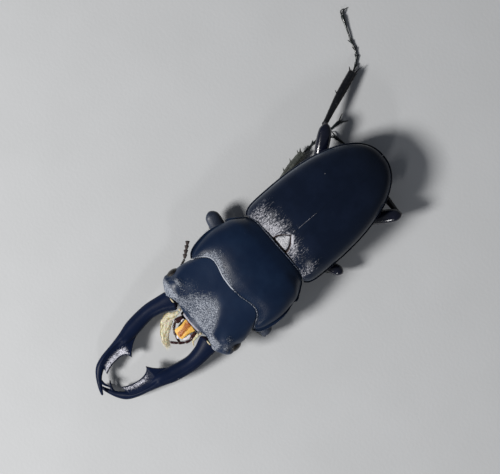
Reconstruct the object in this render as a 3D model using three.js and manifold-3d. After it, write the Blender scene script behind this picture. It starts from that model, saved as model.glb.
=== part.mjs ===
// Male stag beetle, life size, standing still with its feet drawn in and its right hind leg stretched out behind.
// Millimetres. +X is the beetle's left, +Y runs from the jaws to the tail, +Z is up, and the floor is z = 0.
// Shapes are worked out from the front of the wing cases (y = 0 on the midline). The finished group is then moved
// along the floor, so that its origin is the centre of its bounding box at floor level.
// Every hard plate is a solid of its own, and neighbours keep a joint line of SEAM between them.
import * as THREE from "three";
import { mergeVertices } from "three/addons/utils/BufferGeometryUtils.js";
import Module from "manifold-3d";

const wasm = await Module();
wasm.setup();

// ---- Driving dimensions ----------------------------------------------------------------------------------------
const SEAM = 0.2; // joint line between neighbouring plates
const GAP = 0.3; // room where one piece lies against another

const ELYTRA = {
  front: -0.7, apex: 25.4, halfWidth: 9.6, widestY: 5, highestY: 8.5, shoulder: 0.8,
  top: 11.4, rim: 6.3, fold: 1.1, shell: 0.8, frontDrop: 2,
};
const SCUTELLUM = { front: -0.65, tip: 1.9, halfWidth: 1.65 };
const PRONOTUM = { top: 11.1, frontTop: 9.75, rearTop: 9.85, rim: 6.7, belly: 3.2 };
const HEAD = { front: -22.8, top: 9.45, rim: 6.7, belly: 3.8 };
const EYE = { x: 8.95, y: -19.6, z: 6.35, radii: [1.15, 1.6, 1.4] };
const BELLY = { waist: 10.2, sternumZ: 2.8, abdomenZ: 3.9, tail: 24.3 };
const JAW = { hinge: [5.25, -23.1, 4.9], crossing: 0.62, swing: 2.85, droop: 0.16 };

// ---- Small mathematics -----------------------------------------------------------------------------------------
const { lerp, clamp, smoothstep, degToRad } = THREE.MathUtils;
const vec = (x, y, z) => new THREE.Vector3(x, y, z);
const range = (n) => Array.from({ length: n }, (_, i) => i);
const shares = (n) => range(n).map((i) => i / (n - 1));
// A quarter superellipse: 1 at t = 0, falling to 0 at t = 1.
const quarter = (t, flat, round = flat) => Math.pow(Math.max(0, 1 - Math.pow(clamp(t, 0, 1), flat)), 1 / round);
// The value at t of a smooth curve through [t, value] pairs.
function curve(pairs) {
  return (t) => {
    const i = clamp(pairs.findIndex(([at]) => at > t) - 1, 0, pairs.length - 2);
    const k = t >= pairs[pairs.length - 1][0] ? pairs.length - 2 : i;
    const slope = (n) => {
      const [a, b] = [pairs[Math.max(n - 1, 0)], pairs[Math.min(n + 1, pairs.length - 1)]];
      return (b[1] - a[1]) / (b[0] - a[0]);
    };
    const [[t0, v0], [t1, v1]] = [pairs[k], pairs[k + 1]];
    const [w, s] = [t1 - t0, clamp((t - t0) / (t1 - t0), 0, 1)];
    return (
      v0 * (1 + 2 * s) * (1 - s) ** 2 + v1 * s * s * (3 - 2 * s) +
      w * (slope(k) * s * (1 - s) ** 2 - slope(k + 1) * s * s * (1 - s))
    );
  };
}

// ---- Solids ----------------------------------------------------------------------------------------------------
// A closed skin over rings of points, each ring with as many points as the next; the ends are fans.
function loft(rings) {
  const [n, positions, index] = [rings[0].length, [], []];
  rings.forEach((ring) => ring.forEach((p) => positions.push(p.x, p.y, p.z)));
  for (let r = 0; r + 1 < rings.length; r++)
    for (let i = 0; i < n; i++) {
      const [a, b] = [r * n + i, r * n + ((i + 1) % n)];
      index.push(a, b, a + n, b, b + n, a + n);
    }
  [0, rings.length - 1].forEach((r) => {
    const middle = positions.length / 3;
    const centre = rings[r].reduce((sum, p) => sum.add(p), vec(0, 0, 0)).divideScalar(n);
    positions.push(centre.x, centre.y, centre.z);
    for (let i = 0; i < n; i++) {
      const [a, b] = [r * n + i, r * n + ((i + 1) % n)];
      index.push(...(r === 0 ? [b, a, middle] : [a, b, middle]));
    }
  });
  return closed(positions, index);
}

// A shell over rings that are an outer arc followed by its inner arc run backwards; the ends are strips.
function shell(rings) {
  const [n, positions, index] = [rings[0].length, [], []];
  rings.forEach((ring) => ring.forEach((p) => positions.push(p.x, p.y, p.z)));
  for (let r = 0; r + 1 < rings.length; r++)
    for (let i = 0; i < n; i++) {
      const [a, b] = [r * n + i, r * n + ((i + 1) % n)];
      index.push(a, b, a + n, b, b + n, a + n);
    }
  [0, (rings.length - 1) * n].forEach((at, last) => {
    for (let i = 0; i + 1 < n / 2; i++) {
      const [a, b, c, d] = [at + i, at + i + 1, at + n - 2 - i, at + n - 1 - i];
      index.push(...(last ? [a, b, c, a, c, d] : [b, a, c, c, a, d]));
    }
  });
  return closed(positions, index);
}

// The geometry as a manifold solid, turned right way out.
function closed(positions, index) {
  const geometry = new THREE.BufferGeometry();
  geometry.setAttribute("position", new THREE.Float32BufferAttribute(positions, 3));
  geometry.setIndex(index);
  return solid(geometry);
}

function solid(geometry) {
  geometry.deleteAttribute("normal");
  geometry.deleteAttribute("uv");
  const merged = mergeVertices(geometry, 1e-4);
  const triVerts = new Uint32Array(merged.index.array);
  const vertProperties = new Float32Array(merged.attributes.position.array);
  const made = new wasm.Manifold(new wasm.Mesh({ numProp: 3, vertProperties, triVerts }));
  if (made.volume() > 0) return made;
  for (let i = 0; i < triVerts.length; i += 3) [triVerts[i + 1], triVerts[i + 2]] = [triVerts[i + 2], triVerts[i + 1]];
  return new wasm.Manifold(new wasm.Mesh({ numProp: 3, vertProperties, triVerts }));
}

// A tube along points, with an oval section: size(t) gives its half width and half height at a share t of the points.
function tube(points, size, { sides = 8, steps = 8, up = vec(0, 0, 1), floor = -Infinity } = {}) {
  const path = new THREE.CatmullRomCurve3(points, false, "centripetal");
  return loft(
    shares(steps + 1).map((t) => {
      const [at, along] = [path.getPoint(t), path.getTangent(t)];
      const across = new THREE.Vector3().crossVectors(along, up).normalize();
      const high = new THREE.Vector3().crossVectors(across, along).normalize();
      const [width, height] = size(t);
      return range(sides).map((i) => {
        const angle = (2 * Math.PI * (i + 0.5)) / sides;
        const p = at.clone().addScaledVector(across, width * Math.cos(angle));
        p.addScaledVector(high, height * Math.sin(angle));
        p.z = Math.max(p.z, floor);
        return p;
      });
    }),
  );
}

// A spine: a thin cone from root to tip.
const taper = (from, to) => (t) => [lerp(from, to, t), lerp(from, to, t)];
const spine = (root, tip, radius) => tube([root, tip], taper(radius, 0.08), { sides: 3, steps: 1 });

// An egg shape with the given half sizes, turned about Z.
function egg([x, y, z], radii, { turn = 0, grow = 0, across = 12, down = 8 } = {}) {
  const geometry = new THREE.SphereGeometry(1, across, down);
  geometry.rotateX(Math.PI / 2);
  geometry.scale(...radii.map((r) => r + grow));
  geometry.rotateZ(turn);
  geometry.translate(x, y, z);
  return solid(geometry);
}

const join = (pieces) => pieces.reduce((whole, piece) => whole.add(piece));
const cut = (whole, pieces) => pieces.reduce((left, piece) => left.subtract(piece), whole);

// ---- Finishes --------------------------------------------------------------------------------------------------
const finish = (color, roughness) => new THREE.MeshStandardMaterial({ color, roughness, metalness: 0 });
const FINISH = {
  plate: finish(0x101826, 0.38),
  leg: finish(0x0d1119, 0.22),
  jaw: finish(0x141f33, 0.3),
  eye: finish(0x2a211c, 0.12),
  palp: finish(0x2a1c20, 0.35),
  brush: finish(0xcbbd9a, 0.7),
  tongue: finish(0xc87818, 0.5),
  antenna: finish(0x2b2528, 0.4),
};

const beetle = new THREE.Group();
function place(name, made, material) {
  const mesh = made.getMesh();
  const geometry = new THREE.BufferGeometry();
  geometry.setAttribute("position", new THREE.BufferAttribute(Float32Array.from(mesh.vertProperties), 3));
  geometry.setIndex(new THREE.BufferAttribute(Uint32Array.from(mesh.triVerts), 1));
  geometry.computeVertexNormals();
  const node = new THREE.Mesh(geometry, material);
  node.name = name;
  beetle.add(node);
}

const SIDES = [["left", 1], ["right", -1]];

// ---- Wing cases, scutellum, and the body under them -------------------------------------------------------------
// Half width of the closed wing cases: a long superellipse behind widestY, and a rounded shoulder before it.
function elytraHalfWidth(y) {
  const { apex, widestY, halfWidth } = ELYTRA;
  if (y >= widestY) return halfWidth * quarter((y - widestY) / (apex - widestY), 2.25);
  return halfWidth - 1.1 * Math.exp((ELYTRA.front - y) / 0.8);
}

// Height of their ridge above the floor.
function elytraTop(y) {
  const { apex, highestY, top, rim, frontDrop } = ELYTRA;
  if (y >= highestY) return rim + (top - rim) * quarter((y - highestY) / (apex - highestY), 2.1, 1.9);
  return top - frontDrop * Math.pow((highestY - y) / 9.5, 3.2);
}

// A point on their surface, sunk by depth: v runs from 0 on the midline to 1 at the rim.
function elytraPoint(y, v, depth = 0) {
  const [width, top] = [elytraHalfWidth(y) - depth, elytraTop(y) - depth];
  const shoulder = -ELYTRA.shoulder * smoothstep(v, 0.72, 1) * (1 - smoothstep(y, ELYTRA.front, 3));
  return vec(width * v, y + shoulder, ELYTRA.rim + (top - ELYTRA.rim) * quarter(v, 3, 3));
}

// Where each wing case starts beside the midline: it makes room for the scutellum.
const suture = (y) => SEAM / 2 + (SCUTELLUM.halfWidth + SEAM) * clamp((SCUTELLUM.tip - y) / (SCUTELLUM.tip - SCUTELLUM.front), 0, 1);

function elytron(side) {
  const stations = shares(13).map((t) => lerp(ELYTRA.front, ELYTRA.apex - 0.12, Math.sin((t * Math.PI) / 2) ** 0.85));
  const across = [0, 0.2, 0.4, 0.6, 0.75, 0.87, 0.95, 1];
  const arc = (y, depth) => {
    const from = suture(y) / (elytraHalfWidth(y) - depth);
    const points = across.map((v) => elytraPoint(y, lerp(Math.min(from, 0.6), 1, v), depth));
    const edge = points[points.length - 1];
    const under = edge.clone().add(vec(depth ? 0 : -0.45 * clamp(edge.x / 3, 0, 1), 0, -ELYTRA.fold * clamp(edge.x / 3, 0.3, 1)));
    return [...points, under];
  };
  return shell(
    stations.map((y) => {
      const thick = Math.min(ELYTRA.shell, 0.45 * elytraHalfWidth(y), 0.6 * (elytraTop(y) - ELYTRA.rim) + 0.05);
      return [...arc(y, 0), ...arc(y, thick).reverse()].map((p) => vec(side * p.x, p.y, p.z));
    }),
  );
}

// A body section: a flat-topped arc from one flank to the other, closed by the belly.
function bodyRing(y, half, top, flank, belly, keel, { over = 7, under = 7 } = {}) {
  const upper = shares(over).map((t) => {
    const v = Math.cos(t * Math.PI);
    return vec(half * v, y, flank + (top - flank) * quarter(Math.abs(v), 2.5, 2));
  });
  const lower = shares(under).slice(1, -1).map((t) => {
    const v = -Math.cos(t * Math.PI);
    return vec(half * v, y, belly + (flank - belly) * Math.pow(Math.abs(v), keel));
  });
  return [...upper, ...lower];
}

function underBody(from, to, belly, steps) {
  const inset = ELYTRA.shell + GAP;
  return loft(
    shares(steps).map((t) => {
      const y = lerp(from, to, t);
      const half = Math.max(elytraHalfWidth(y) - inset - 0.15, 0.6);
      const top = Math.max(elytraTop(y) - inset - 0.1, ELYTRA.rim + 0.15);
      return bodyRing(y, half, top, ELYTRA.rim - 0.3, belly(y), 2.2);
    }),
  );
}

const COXA = {
  front: { at: [3, -7.7, 3.35], radii: [2.3, 1.5, 1], turn: 0.18 },
  middle: { at: [3.1, 0.9, 3.1], radii: [1.7, 1.5, 0.9], turn: 0.3 },
  hind: { at: [3.6, 10.1, 3.45], radii: [3.1, 1.25, 0.85], turn: 0.1 },
};
const coxa = (name, side, grow = 0) => {
  const { at: [x, y, z], radii, turn } = COXA[name];
  return egg([side * x, y, z], radii, { turn: side * turn, grow, across: 8, down: 5 });
};
const sockets = (name) => SIDES.map(([, side]) => coxa(name, side, SEAM));

SIDES.forEach(([word, side]) => place(`elytron_${word}`, elytron(side), FINISH.plate));

// The scutellum: a small shield in the notch between the wing cases.
{
  const { front, tip, halfWidth } = SCUTELLUM;
  const ring = (t) => {
    const [y, half] = [lerp(front, tip - 0.1, t), Math.max(halfWidth * (1 - t), 0.12)];
    const top = elytraTop(y) - 0.12;
    return [vec(half, y, top - 0.1), vec(0, y, top), vec(-half, y, top - 0.1), vec(-half, y, top - 0.8), vec(half, y, top - 0.8)];
  };
  place("scutellum", loft(shares(5).map(ring)), FINISH.plate);
}

const sternum = (y) => BELLY.sternumZ + 0.5 * (1 - smoothstep(y, -0.7, 3)) + 0.7 * smoothstep(y, 7.5, 10.2);
place(
  "metathorax",
  cut(underBody(ELYTRA.front, BELLY.waist - SEAM / 2, sternum, 6), [...sockets("middle"), ...sockets("hind")]),
  FINISH.plate,
);
const ventrites = (y) => BELLY.abdomenZ - 0.5 * (1 - smoothstep(y, 10, 14)) + 1.6 * smoothstep(y, 15, 25) + 0.12 * Math.sin((y - 10) * 2.1);
place("abdomen", cut(underBody(BELLY.waist + SEAM / 2, BELLY.tail, ventrites, 8), sockets("hind")), FINISH.plate);

// ---- Prothorax ---------------------------------------------------------------------------------------------------
// Plan of the shield: u runs from its front margin (0) to its rear margin (1), v across it from -1 to 1.
const pronotumHalf = curve([[0, 9.05], [0.1, 9.95], [0.28, 10.7], [0.42, 10.88], [0.6, 10.55], [0.72, 10.1], [0.86, 8.9], [1, 7.6]]);
const pronotumFront = curve([[0, -13], [0.33, -12.75], [0.66, -12.1], [0.82, -12.75], [0.93, -14.1], [1, -15.1]]);
const pronotumRear = curve([[0, -1], [0.7, -1], [1, -1.55]]);
const pronotumTop = curve([
  [0, PRONOTUM.frontTop], [0.12, 10.35], [0.3, 10.9], [0.55, PRONOTUM.top], [0.8, 10.8], [1, PRONOTUM.rearTop],
]);

function pronotumPoint(u, v) {
  const a = Math.abs(v);
  const top = pronotumTop(u);
  return vec(
    v * pronotumHalf(u),
    lerp(pronotumFront(a), pronotumRear(a), u),
    PRONOTUM.rim + (top - PRONOTUM.rim) * quarter(a, 2.5, 1.9),
  );
}

function prothorax() {
  const across = shares(17).map((t) => Math.cos(t * Math.PI));
  return loft(
    [0, 0.05, 0.15, 0.3, 0.45, 0.6, 0.72, 0.85, 0.95, 1].map((u) => {
      const upper = across.map((v) => pronotumPoint(u, v));
      const lower = across.slice(1, -1).filter((_, i) => i % 2).map((w) => {
        const [v, a] = [-w, Math.abs(w)];
        const p = pronotumPoint(u, v);
        const swell = Math.sin(Math.PI * lerp(0.1, 0.85, u));
        const belly = lerp(PRONOTUM.belly + 1, PRONOTUM.belly, swell);
        p.z = lerp(belly, PRONOTUM.rim - 0.5, Math.pow(clamp((a - 0.22) / 0.78, 0, 1), 0.95));
        return p;
      });
      return [...upper, ...lower];
    }),
  );
}
place("prothorax", cut(prothorax(), sockets("front")), FINISH.plate);

// ---- Head --------------------------------------------------------------------------------------------------------
// u runs from the neck (0) to the front margin (1).
const headHalf = curve([[0, 8.85], [0.23, 9.25], [0.39, 9.5], [0.58, 9.95], [0.77, 9.85], [0.9, 9.2], [0.97, 8.4], [1, 7.9]]);
const headRear = (a) =>
  pronotumFront(clamp((a * headHalf(0)) / pronotumHalf(0), 0, 1)) - SEAM - 0.35 * smoothstep(a, 0.7, 1);
const headFront = curve([[0, -22.9], [0.4, -22.75], [0.7, -22.6], [0.9, -22.95], [1, -22.6]]);

// The brow slopes down to the jaws in a wide triangle, between two low bosses behind the front corners.
function headTop(x, y) {
  const a = Math.abs(x);
  const brow = smoothstep(-y, 15.5 + 0.8 * a, 23 + 0.5 * a);
  const lip = smoothstep(-y, 20.8, 23.2);
  const boss = 0.35 * Math.exp(-(((a - 7.3) / 1.1) ** 2) - ((y + 20.4) / 1.2) ** 2);
  return HEAD.top - 0.3 * smoothstep(-y, 13, 17) - 2 * brow - 0.5 * lip + boss;
}

function head() {
  const across = shares(17).map((t) => Math.cos(t * Math.PI));
  return loft(
    [0, 0.2, 0.4, 0.58, 0.7, 0.8, 0.88, 0.95, 1].map((u) => {
      const [half, point] = [headHalf(u), (v) => vec(v * half, lerp(headRear(Math.abs(v)), headFront(Math.abs(v)), u), 0)];
      const upper = across.map((v) => {
        const p = point(v);
        p.z = HEAD.rim + (headTop(p.x, p.y) - HEAD.rim) * quarter(Math.abs(v), 3.2, 2);
        return p;
      });
      const lower = across.slice(1, -1).filter((_, i) => i % 2).map((w) => {
        const p = point(-w);
        p.z = lerp(HEAD.belly + 0.5 * Math.abs(2 * u - 1) ** 3, HEAD.rim - 0.7, Math.pow(Math.abs(w), 2.2));
        return p;
      });
      return [...upper, ...lower];
    }),
  );
}
const eye = (side, grow = 0) => egg([side * EYE.x, EYE.y, EYE.z], EYE.radii, { grow, across: 10, down: 6 });
place("head", cut(head(), SIDES.map(([, side]) => eye(side, 0.12))), FINISH.plate);
SIDES.forEach(([word, side]) => place(`eye_${word}`, eye(side), FINISH.eye));

// ---- Jaws --------------------------------------------------------------------------------------------------------
// Stations along a jaw's shaft from its hinge to its tip: how far forward and how far out of the hinge its middle
// lies, its half width and its half height.
const SHAFT = [
  [-0.6, -0.25, 2.25, 1.45],
  [2.2, 0.75, 1.68, 1.6],
  [5, 1.1, 1.52, 1.5],
  [9, 0.6, 1.55, 1.35],
  [11.5, 0.05, 1.3, 1.2],
  [14.5, -0.22, 0.75, 1],
  [17, -0.75, 0.75, 0.8],
  [18.8, -1.6, 0.8, 0.62],
  [20.1, -2.85, 0.6, 0.5],
  [21.2, -4.7, 0.4, 0.38],
  [21.8, -6.1, 0.12, 0.12],
];
function jaw(side) {
  const [hingeX, hingeY, hingeZ] = JAW.hinge;
  const arch = (d) => 0.35 * smoothstep(d, 9, 18) - 0.45 * Math.sin((Math.PI * clamp(d, 0, 12)) / 12);
  const rise = (d) => arch(d) - JAW.droop * Math.max(d, 0);
  const lift = (d) => rise(d) - side * JAW.crossing * smoothstep(d, 13, 20);
  const at = (d, out, z = 0) => vec(side * (hingeX + out), hingeY - d, hingeZ + lift(d) + z);
  const station = (k) => curve(SHAFT.map((row, i) => [i / (SHAFT.length - 1), row[k]]));
  const [width, height] = [station(2), station(3)];
  const shaft = tube(SHAFT.map(([d, out]) => at(d, out)), (t) => [width(t), height(t)], { sides: 10, steps: 13 });
  // The blade along the shaft's inner side: a large tooth, a hollow edge and a second tooth that points to the tip.
  const outline = new THREE.Shape();
  outline.moveTo(8.2, -0.2);
  outline.quadraticCurveTo(10.8, -1.3, 12.6, -3.4);
  outline.quadraticCurveTo(12.9, -2.4, 14.6, -2.35);
  outline.quadraticCurveTo(16.9, -2.4, 18.55, -3.4);
  outline.quadraticCurveTo(18.3, -2.5, 18.3, -1.6);
  outline.lineTo(17, -0.75);
  outline.lineTo(12, 0);
  const bevel = { bevelThickness: 0.25, bevelSize: 0.12, bevelOffset: -0.12, bevelSegments: 1 };
  const blade = new THREE.ExtrudeGeometry(outline, { depth: 0.5, curveSegments: 4, ...bevel });
  const position = blade.attributes.position;
  for (let i = 0; i < position.count; i++) {
    const p = at(position.getX(i), position.getY(i), position.getZ(i) - 0.5);
    position.setXYZ(i, p.x, p.y, p.z);
  }
  const prong = tube([at(20.3, -3), at(20.15, -4.3), at(19.45, -5.7)], taper(0.34, 0.1), { sides: 6, steps: 3 });
  const pivot = [side * hingeX, hingeY, 0];
  const whole = join([shaft, solid(blade), prong]);
  const swung = whole.translate(pivot.map((c) => -c)).rotate([0, 0, -JAW.swing]).translate(pivot);
  return swung.trimByPlane([0, -1, 0], -HEAD.front + GAP);
}
SIDES.forEach(([word, side]) => place(`mandible_${word}`, jaw(side), FINISH.jaw));

// ---- Mouth -------------------------------------------------------------------------------------------------------
const MOUTH_X = 0.35; // the mouthparts lean a little to the beetle's left
place(
  "labrum",
  loft(shares(3).map((t) => {
    const [y, half] = [lerp(HEAD.front - 0.35, HEAD.front - 1.15, t), lerp(2.7, 2, t)];
    return [vec(half, y, 6.25), vec(0, y, 6.55 - 0.25 * t), vec(-half, y, 6.25), vec(-half, y, 5.65), vec(half, y, 5.65)];
  })),
  FINISH.palp,
);
place(
  "mentum",
  loft(shares(4).map((t) => {
    const [y, half] = [lerp(-18.6, -23.6, t), lerp(3.4, 2.3, t)];
    const z = HEAD.belly - SEAM;
    return [vec(half, y, z), vec(-half, y, z), vec(-half * 0.9, y, z - 0.45), vec(0, y, z - 0.6), vec(half * 0.9, y, z - 0.45)];
  })),
  FINISH.plate,
);
place(
  "tongue",
  tube(
    [vec(MOUTH_X, -23.3, 4.75), vec(MOUTH_X + 0.1, -25, 4.7), vec(MOUTH_X + 0.15, -26.5, 4.5)],
    (t) => [0.55 + 0.45 * Math.sin(Math.PI * t) - 0.2 * t, 0.34],
    { sides: 8, steps: 5 },
  ),
  FINISH.tongue,
);
// The brush of each maxilla: the right one is put out far beyond the other.
const GALEA = {
  right: [vec(-2.6, -23.6, 4.7), vec(-2.75, -25, 4.6), vec(-2.75, -26.5, 4.4), vec(-1.7, -28, 4.3), vec(0.3, -29.4, 4.2)],
  left: [vec(2.8, -23.6, 4.9), vec(3, -24.4, 4.8), vec(3.3, -25.2, 4.7)],
};
SIDES.forEach(([word, side]) => {
  const [wide, steps] = side < 0 ? [curve([[0, 0.3], [0.25, 0.8], [0.5, 1.3], [0.75, 0.95], [1, 0.35]]), 7] : [() => 0.3, 3];
  const size = (t) => [wide(t), 0.28];
  place(`galea_${word}`, tube(GALEA[word], size, { sides: 6, steps }), FINISH.brush);
});
const PALP = {
  maxillary_right: [
    vec(-1.45, -23.8, 3.9), vec(-1.75, -25.3, 3.85), vec(-0.95, -26.4, 3.6), vec(0.4, -27, 3.4), vec(1.8, -27.3, 3.3),
  ],
  maxillary_left: [
    vec(2.45, -23.8, 3.95), vec(2.7, -25.5, 4), vec(2.2, -26.7, 4.1), vec(1.2, -27.9, 4.25), vec(0.4, -28.6, 4.35),
  ],
  labial_right: [vec(-0.6, -23.7, 3), vec(-0.75, -24.7, 2.7), vec(-0.55, -25.6, 2.4)],
  labial_left: [vec(1.3, -23.7, 3), vec(1.5, -24.7, 2.7), vec(1.35, -25.6, 2.4)],
};
Object.entries(PALP).forEach(([name, points]) => {
  const thick = name.startsWith("max") ? curve([[0, 0.36], [0.28, 0.4], [0.36, 0.24], [0.6, 0.24], [1, 0.16]]) : () => 0.25;
  const size = (t) => [thick(t), thick(t)];
  place(`palp_${name}`, tube(points, size, { sides: 5, steps: 6 }), FINISH.palp);
});

// ---- Antennae ----------------------------------------------------------------------------------------------------
// Each has a long scape, a bead-like funicle after the elbow, and a club of four joints.
const ANTENNA = {
  left: { base: vec(5.6, -21.9, 3.45), elbow: vec(8.6, -18.2, 3.3), club: vec(6.1, -19.5, 2.95), tip: vec(2.8, -20.9, 2.55) },
  right: { base: vec(-5.6, -21.9, 3.45), elbow: vec(-8.7, -18.6, 3.6), club: vec(-9.7, -16.2, 3.9), tip: vec(-11.9, -13.4, 4.2) },
};
SIDES.forEach(([word, side]) => {
  const { base, elbow, club, tip } = ANTENNA[word];
  const bend = base.clone().lerp(elbow, 0.5).add(vec(side * 0.3, 0, 0));
  place(`antenna_scape_${word}`, tube([base, bend, elbow], taper(0.27, 0.36), { sides: 6, steps: 4 }), FINISH.antenna);
  const turn = elbow.clone().lerp(club, 0.24);
  const bead = (t) => 0.2 + 0.08 * Math.abs(Math.sin(Math.PI * 3 * t));
  const beads = tube([turn, club], (t) => [bead(t), bead(t)], { sides: 5, steps: 6 });
  place(`antenna_funicle_${word}`, beads, FINISH.antenna);
  const swell = (t) => 0.26 + 0.12 * Math.sin(4 * Math.PI * t) ** 2;
  const joints = tube([club.clone().lerp(tip, 0.07), tip], (t) => [swell(t), 0.25], { sides: 6, steps: 8 });
  place(`antenna_club_${word}`, joints, FINISH.antenna);
});

// ---- Legs --------------------------------------------------------------------------------------------------------
// Hip, knee, shin's head, ankle and the joints of the foot are where the pose puts them. Soles are flat on the floor.
const LEGS = {
  front_left: {
    pair: "front", hip: vec(4.3, -9.5, 2.6), knee: vec(11.4, -14, 4.4), shin: vec(10.8, -14.3, 2.75), ankle: vec(2.4, -17.3, 1.35),
    foot: [[2.6, -18.6], [3.3, -19.5], [4.2, -20.1], [5, -20.6], [7.3, -21.6]],
  },
  front_right: {
    pair: "front", hip: vec(-5.1, -8.2, 2.8), knee: vec(-13.5, -6.7, 4.5), shin: vec(-12.5, -7.5, 2.95), ankle: vec(-5.2, -12.2, 1.35),
    foot: [[-5, -13.5], [-5.2, -14.6], [-5.5, -15.6], [-5.9, -16.6], [-6.9, -19.2]],
  },
  middle_left: {
    pair: "middle", hip: vec(4.8, 1.7, 2.45), knee: vec(12, 5, 4.1), shin: vec(11.4, 4.45, 2.6), ankle: vec(4.2, -1.2, 1.25),
    foot: [[4.9, -2.5], [5.9, -3.5], [6.7, -4.5], [7.3, -5.6], [8, -8.6]],
  },
  middle_right: {
    pair: "middle", hip: vec(-4.4, 2.2, 2.45), knee: vec(-8.5, 5.4, 3.6), shin: vec(-8.8, 6.1, 3.5), ankle: vec(-10.3, 14.3, 1.15),
    foot: [[-10.4, 15.8], [-10.5, 17.1], [-10.5, 18.3], [-10.4, 19.5], [-10.3, 23.7]],
  },
  hind_left: {
    pair: "hind", hip: vec(5, 11.7, 2.6), knee: vec(11.5, 21.4, 5.9), shin: vec(10.9, 21, 4.55), ankle: vec(-0.5, 20.7, 1.3),
    foot: [[-1.9, 21.4], [-3.1, 21.7], [-4.2, 21.9], [-5.2, 21.9], [-8.7, 21]],
  },
  hind_right: {
    pair: "hind", hip: vec(-4.6, 12.3, 2.7), knee: vec(-11.6, 21.2, 4.6), shin: vec(-11.75, 20.95, 3.25), ankle: vec(-15.9, 31.9, 1.35),
    foot: [[-16.6, 33.3], [-17.8, 34.5], [-19.2, 35.2], [-20.8, 35.5], [-25.6, 37.5]],
  },
};
const PAIRS = {
  front: { femur: [1.3, 0.9], tibia: [0.42, 1, 0.6], teeth: 4, tooth: 0.75 },
  middle: { femur: [1.08, 0.88], tibia: [0.4, 0.78, 0.5], teeth: 3, tooth: 0.5 },
  hind: { femur: [1.22, 0.92], tibia: [0.42, 0.78, 0.55], teeth: 1, tooth: 0.45 },
};
const TARSUS = { radius: 0.34, sole: 0.3 };

// The thigh swells past its middle and ends in a round knee.
function femur({ hip, knee, pair }) {
  const [wide, high] = PAIRS[pair].femur;
  const swell = curve([[0, 0.5], [0.17, 0.72], [0.5, 1], [0.86, 0.95], [1, 0.5]]);
  return tube([hip, knee], (t) => [wide * swell(t), high * swell(t)], { sides: 8, steps: 6 });
}

// The shin starts thin below the knee and widens to a blunt end, with teeth on its outer edge and two spurs.
function tibia({ hip, knee, shin, ankle, pair }) {
  const [thin, wide, high] = PAIRS[pair].tibia;
  const { teeth, tooth } = PAIRS[pair];
  const way = ankle.clone().sub(shin).normalize();
  const outer = new THREE.Vector3().crossVectors(way, vec(0, 0, 1)).normalize();
  if (outer.dot(hip.clone().sub(knee)) > 0) outer.negate();
  const width = (t) => lerp(thin, wide, smoothstep(t, 0, 0.85)) * (t > 0.97 ? 0.8 : 1);
  const height = (t) => lerp(thin, high, smoothstep(t, 0, 0.85)) * (t > 0.97 ? 0.8 : 1);
  const body = tube([shin, ankle], (t) => [width(t), height(t)], { sides: 8, steps: 4 });
  const edge = (t, reach) => shin.clone().lerp(ankle, t).addScaledVector(outer, reach * lerp(thin, wide, t));
  const row = range(teeth).map((i) => {
    const t = teeth === 1 ? 0.55 : lerp(0.4, 0.93, i / (teeth - 1));
    return spine(edge(t, 0.6), edge(t, 1).addScaledVector(outer, tooth).addScaledVector(way, 0.35), 0.28);
  });
  const spurs = [
    spine(edge(0.95, 0.4), edge(1, 1).addScaledVector(outer, 0.35).addScaledVector(way, 0.4), 0.3),
    spine(edge(0.95, -0.5), edge(1, -1).addScaledVector(outer, -0.35).addScaledVector(way, 1.05), 0.24),
  ];
  return join([body, ...row, ...spurs]);
}

// Four short joints and a long last one, then a pair of hooked claws.
function tarsus({ ankle, foot }) {
  const { radius, sole } = TARSUS;
  const joints = foot.map(([x, y]) => vec(x, y, sole));
  const way = joints[0].clone().sub(ankle).setZ(0).normalize();
  const start = ankle.clone().addScaledVector(way, 0.4).setZ(ankle.z - 0.4);
  const points = [start, ...joints];
  const parts = joints.map((end, i) => {
    const last = i === 4;
    const from = i ? points[i].clone().lerp(end, -0.12) : start;
    const girth = last ? curve([[0, 0.26], [0.5, 0.22], [0.85, 0.36], [1, 0.3]]) : curve([[0, 0.24], [0.7, radius], [1, 0.27]]);
    return tube([from, end], (t) => [girth(t), girth(t)], { sides: 5, steps: last ? 3 : 2, floor: 0 });
  });
  const last = joints[4];
  const ahead = last.clone().sub(joints[3]).normalize();
  const across = vec(-ahead.y, ahead.x, 0);
  const claws = [-1, 1].map((s) => {
    const at = (forward, out, z) => last.clone().addScaledVector(ahead, forward).addScaledVector(across, s * out).setZ(z);
    const hook = [at(-0.15, 0.1, 0.34), at(0.6, 0.55, 0.42), at(1.15, 0.8, 0.05)];
    return tube(hook, taper(0.19, 0.06), { sides: 4, steps: 2, floor: 0 });
  });
  return join([...parts, ...claws]);
}

Object.entries(LEGS).forEach(([name, leg]) => {
  const side = name.endsWith("left") ? 1 : -1;
  place(`coxa_${name}`, coxa(leg.pair, side), FINISH.leg);
  place(`femur_${name}`, femur(leg), FINISH.leg);
  place(`tibia_${name}`, tibia(leg), FINISH.leg);
  place(`tarsus_${name}`, tarsus(leg), FINISH.leg);
});

// ---- Origin ------------------------------------------------------------------------------------------------------
const bounds = new THREE.Box3().setFromObject(beetle);
const middle = bounds.getCenter(new THREE.Vector3());
beetle.position.set(-middle.x, -middle.y, -bounds.min.z);

export default beetle;
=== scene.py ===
import math

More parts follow.
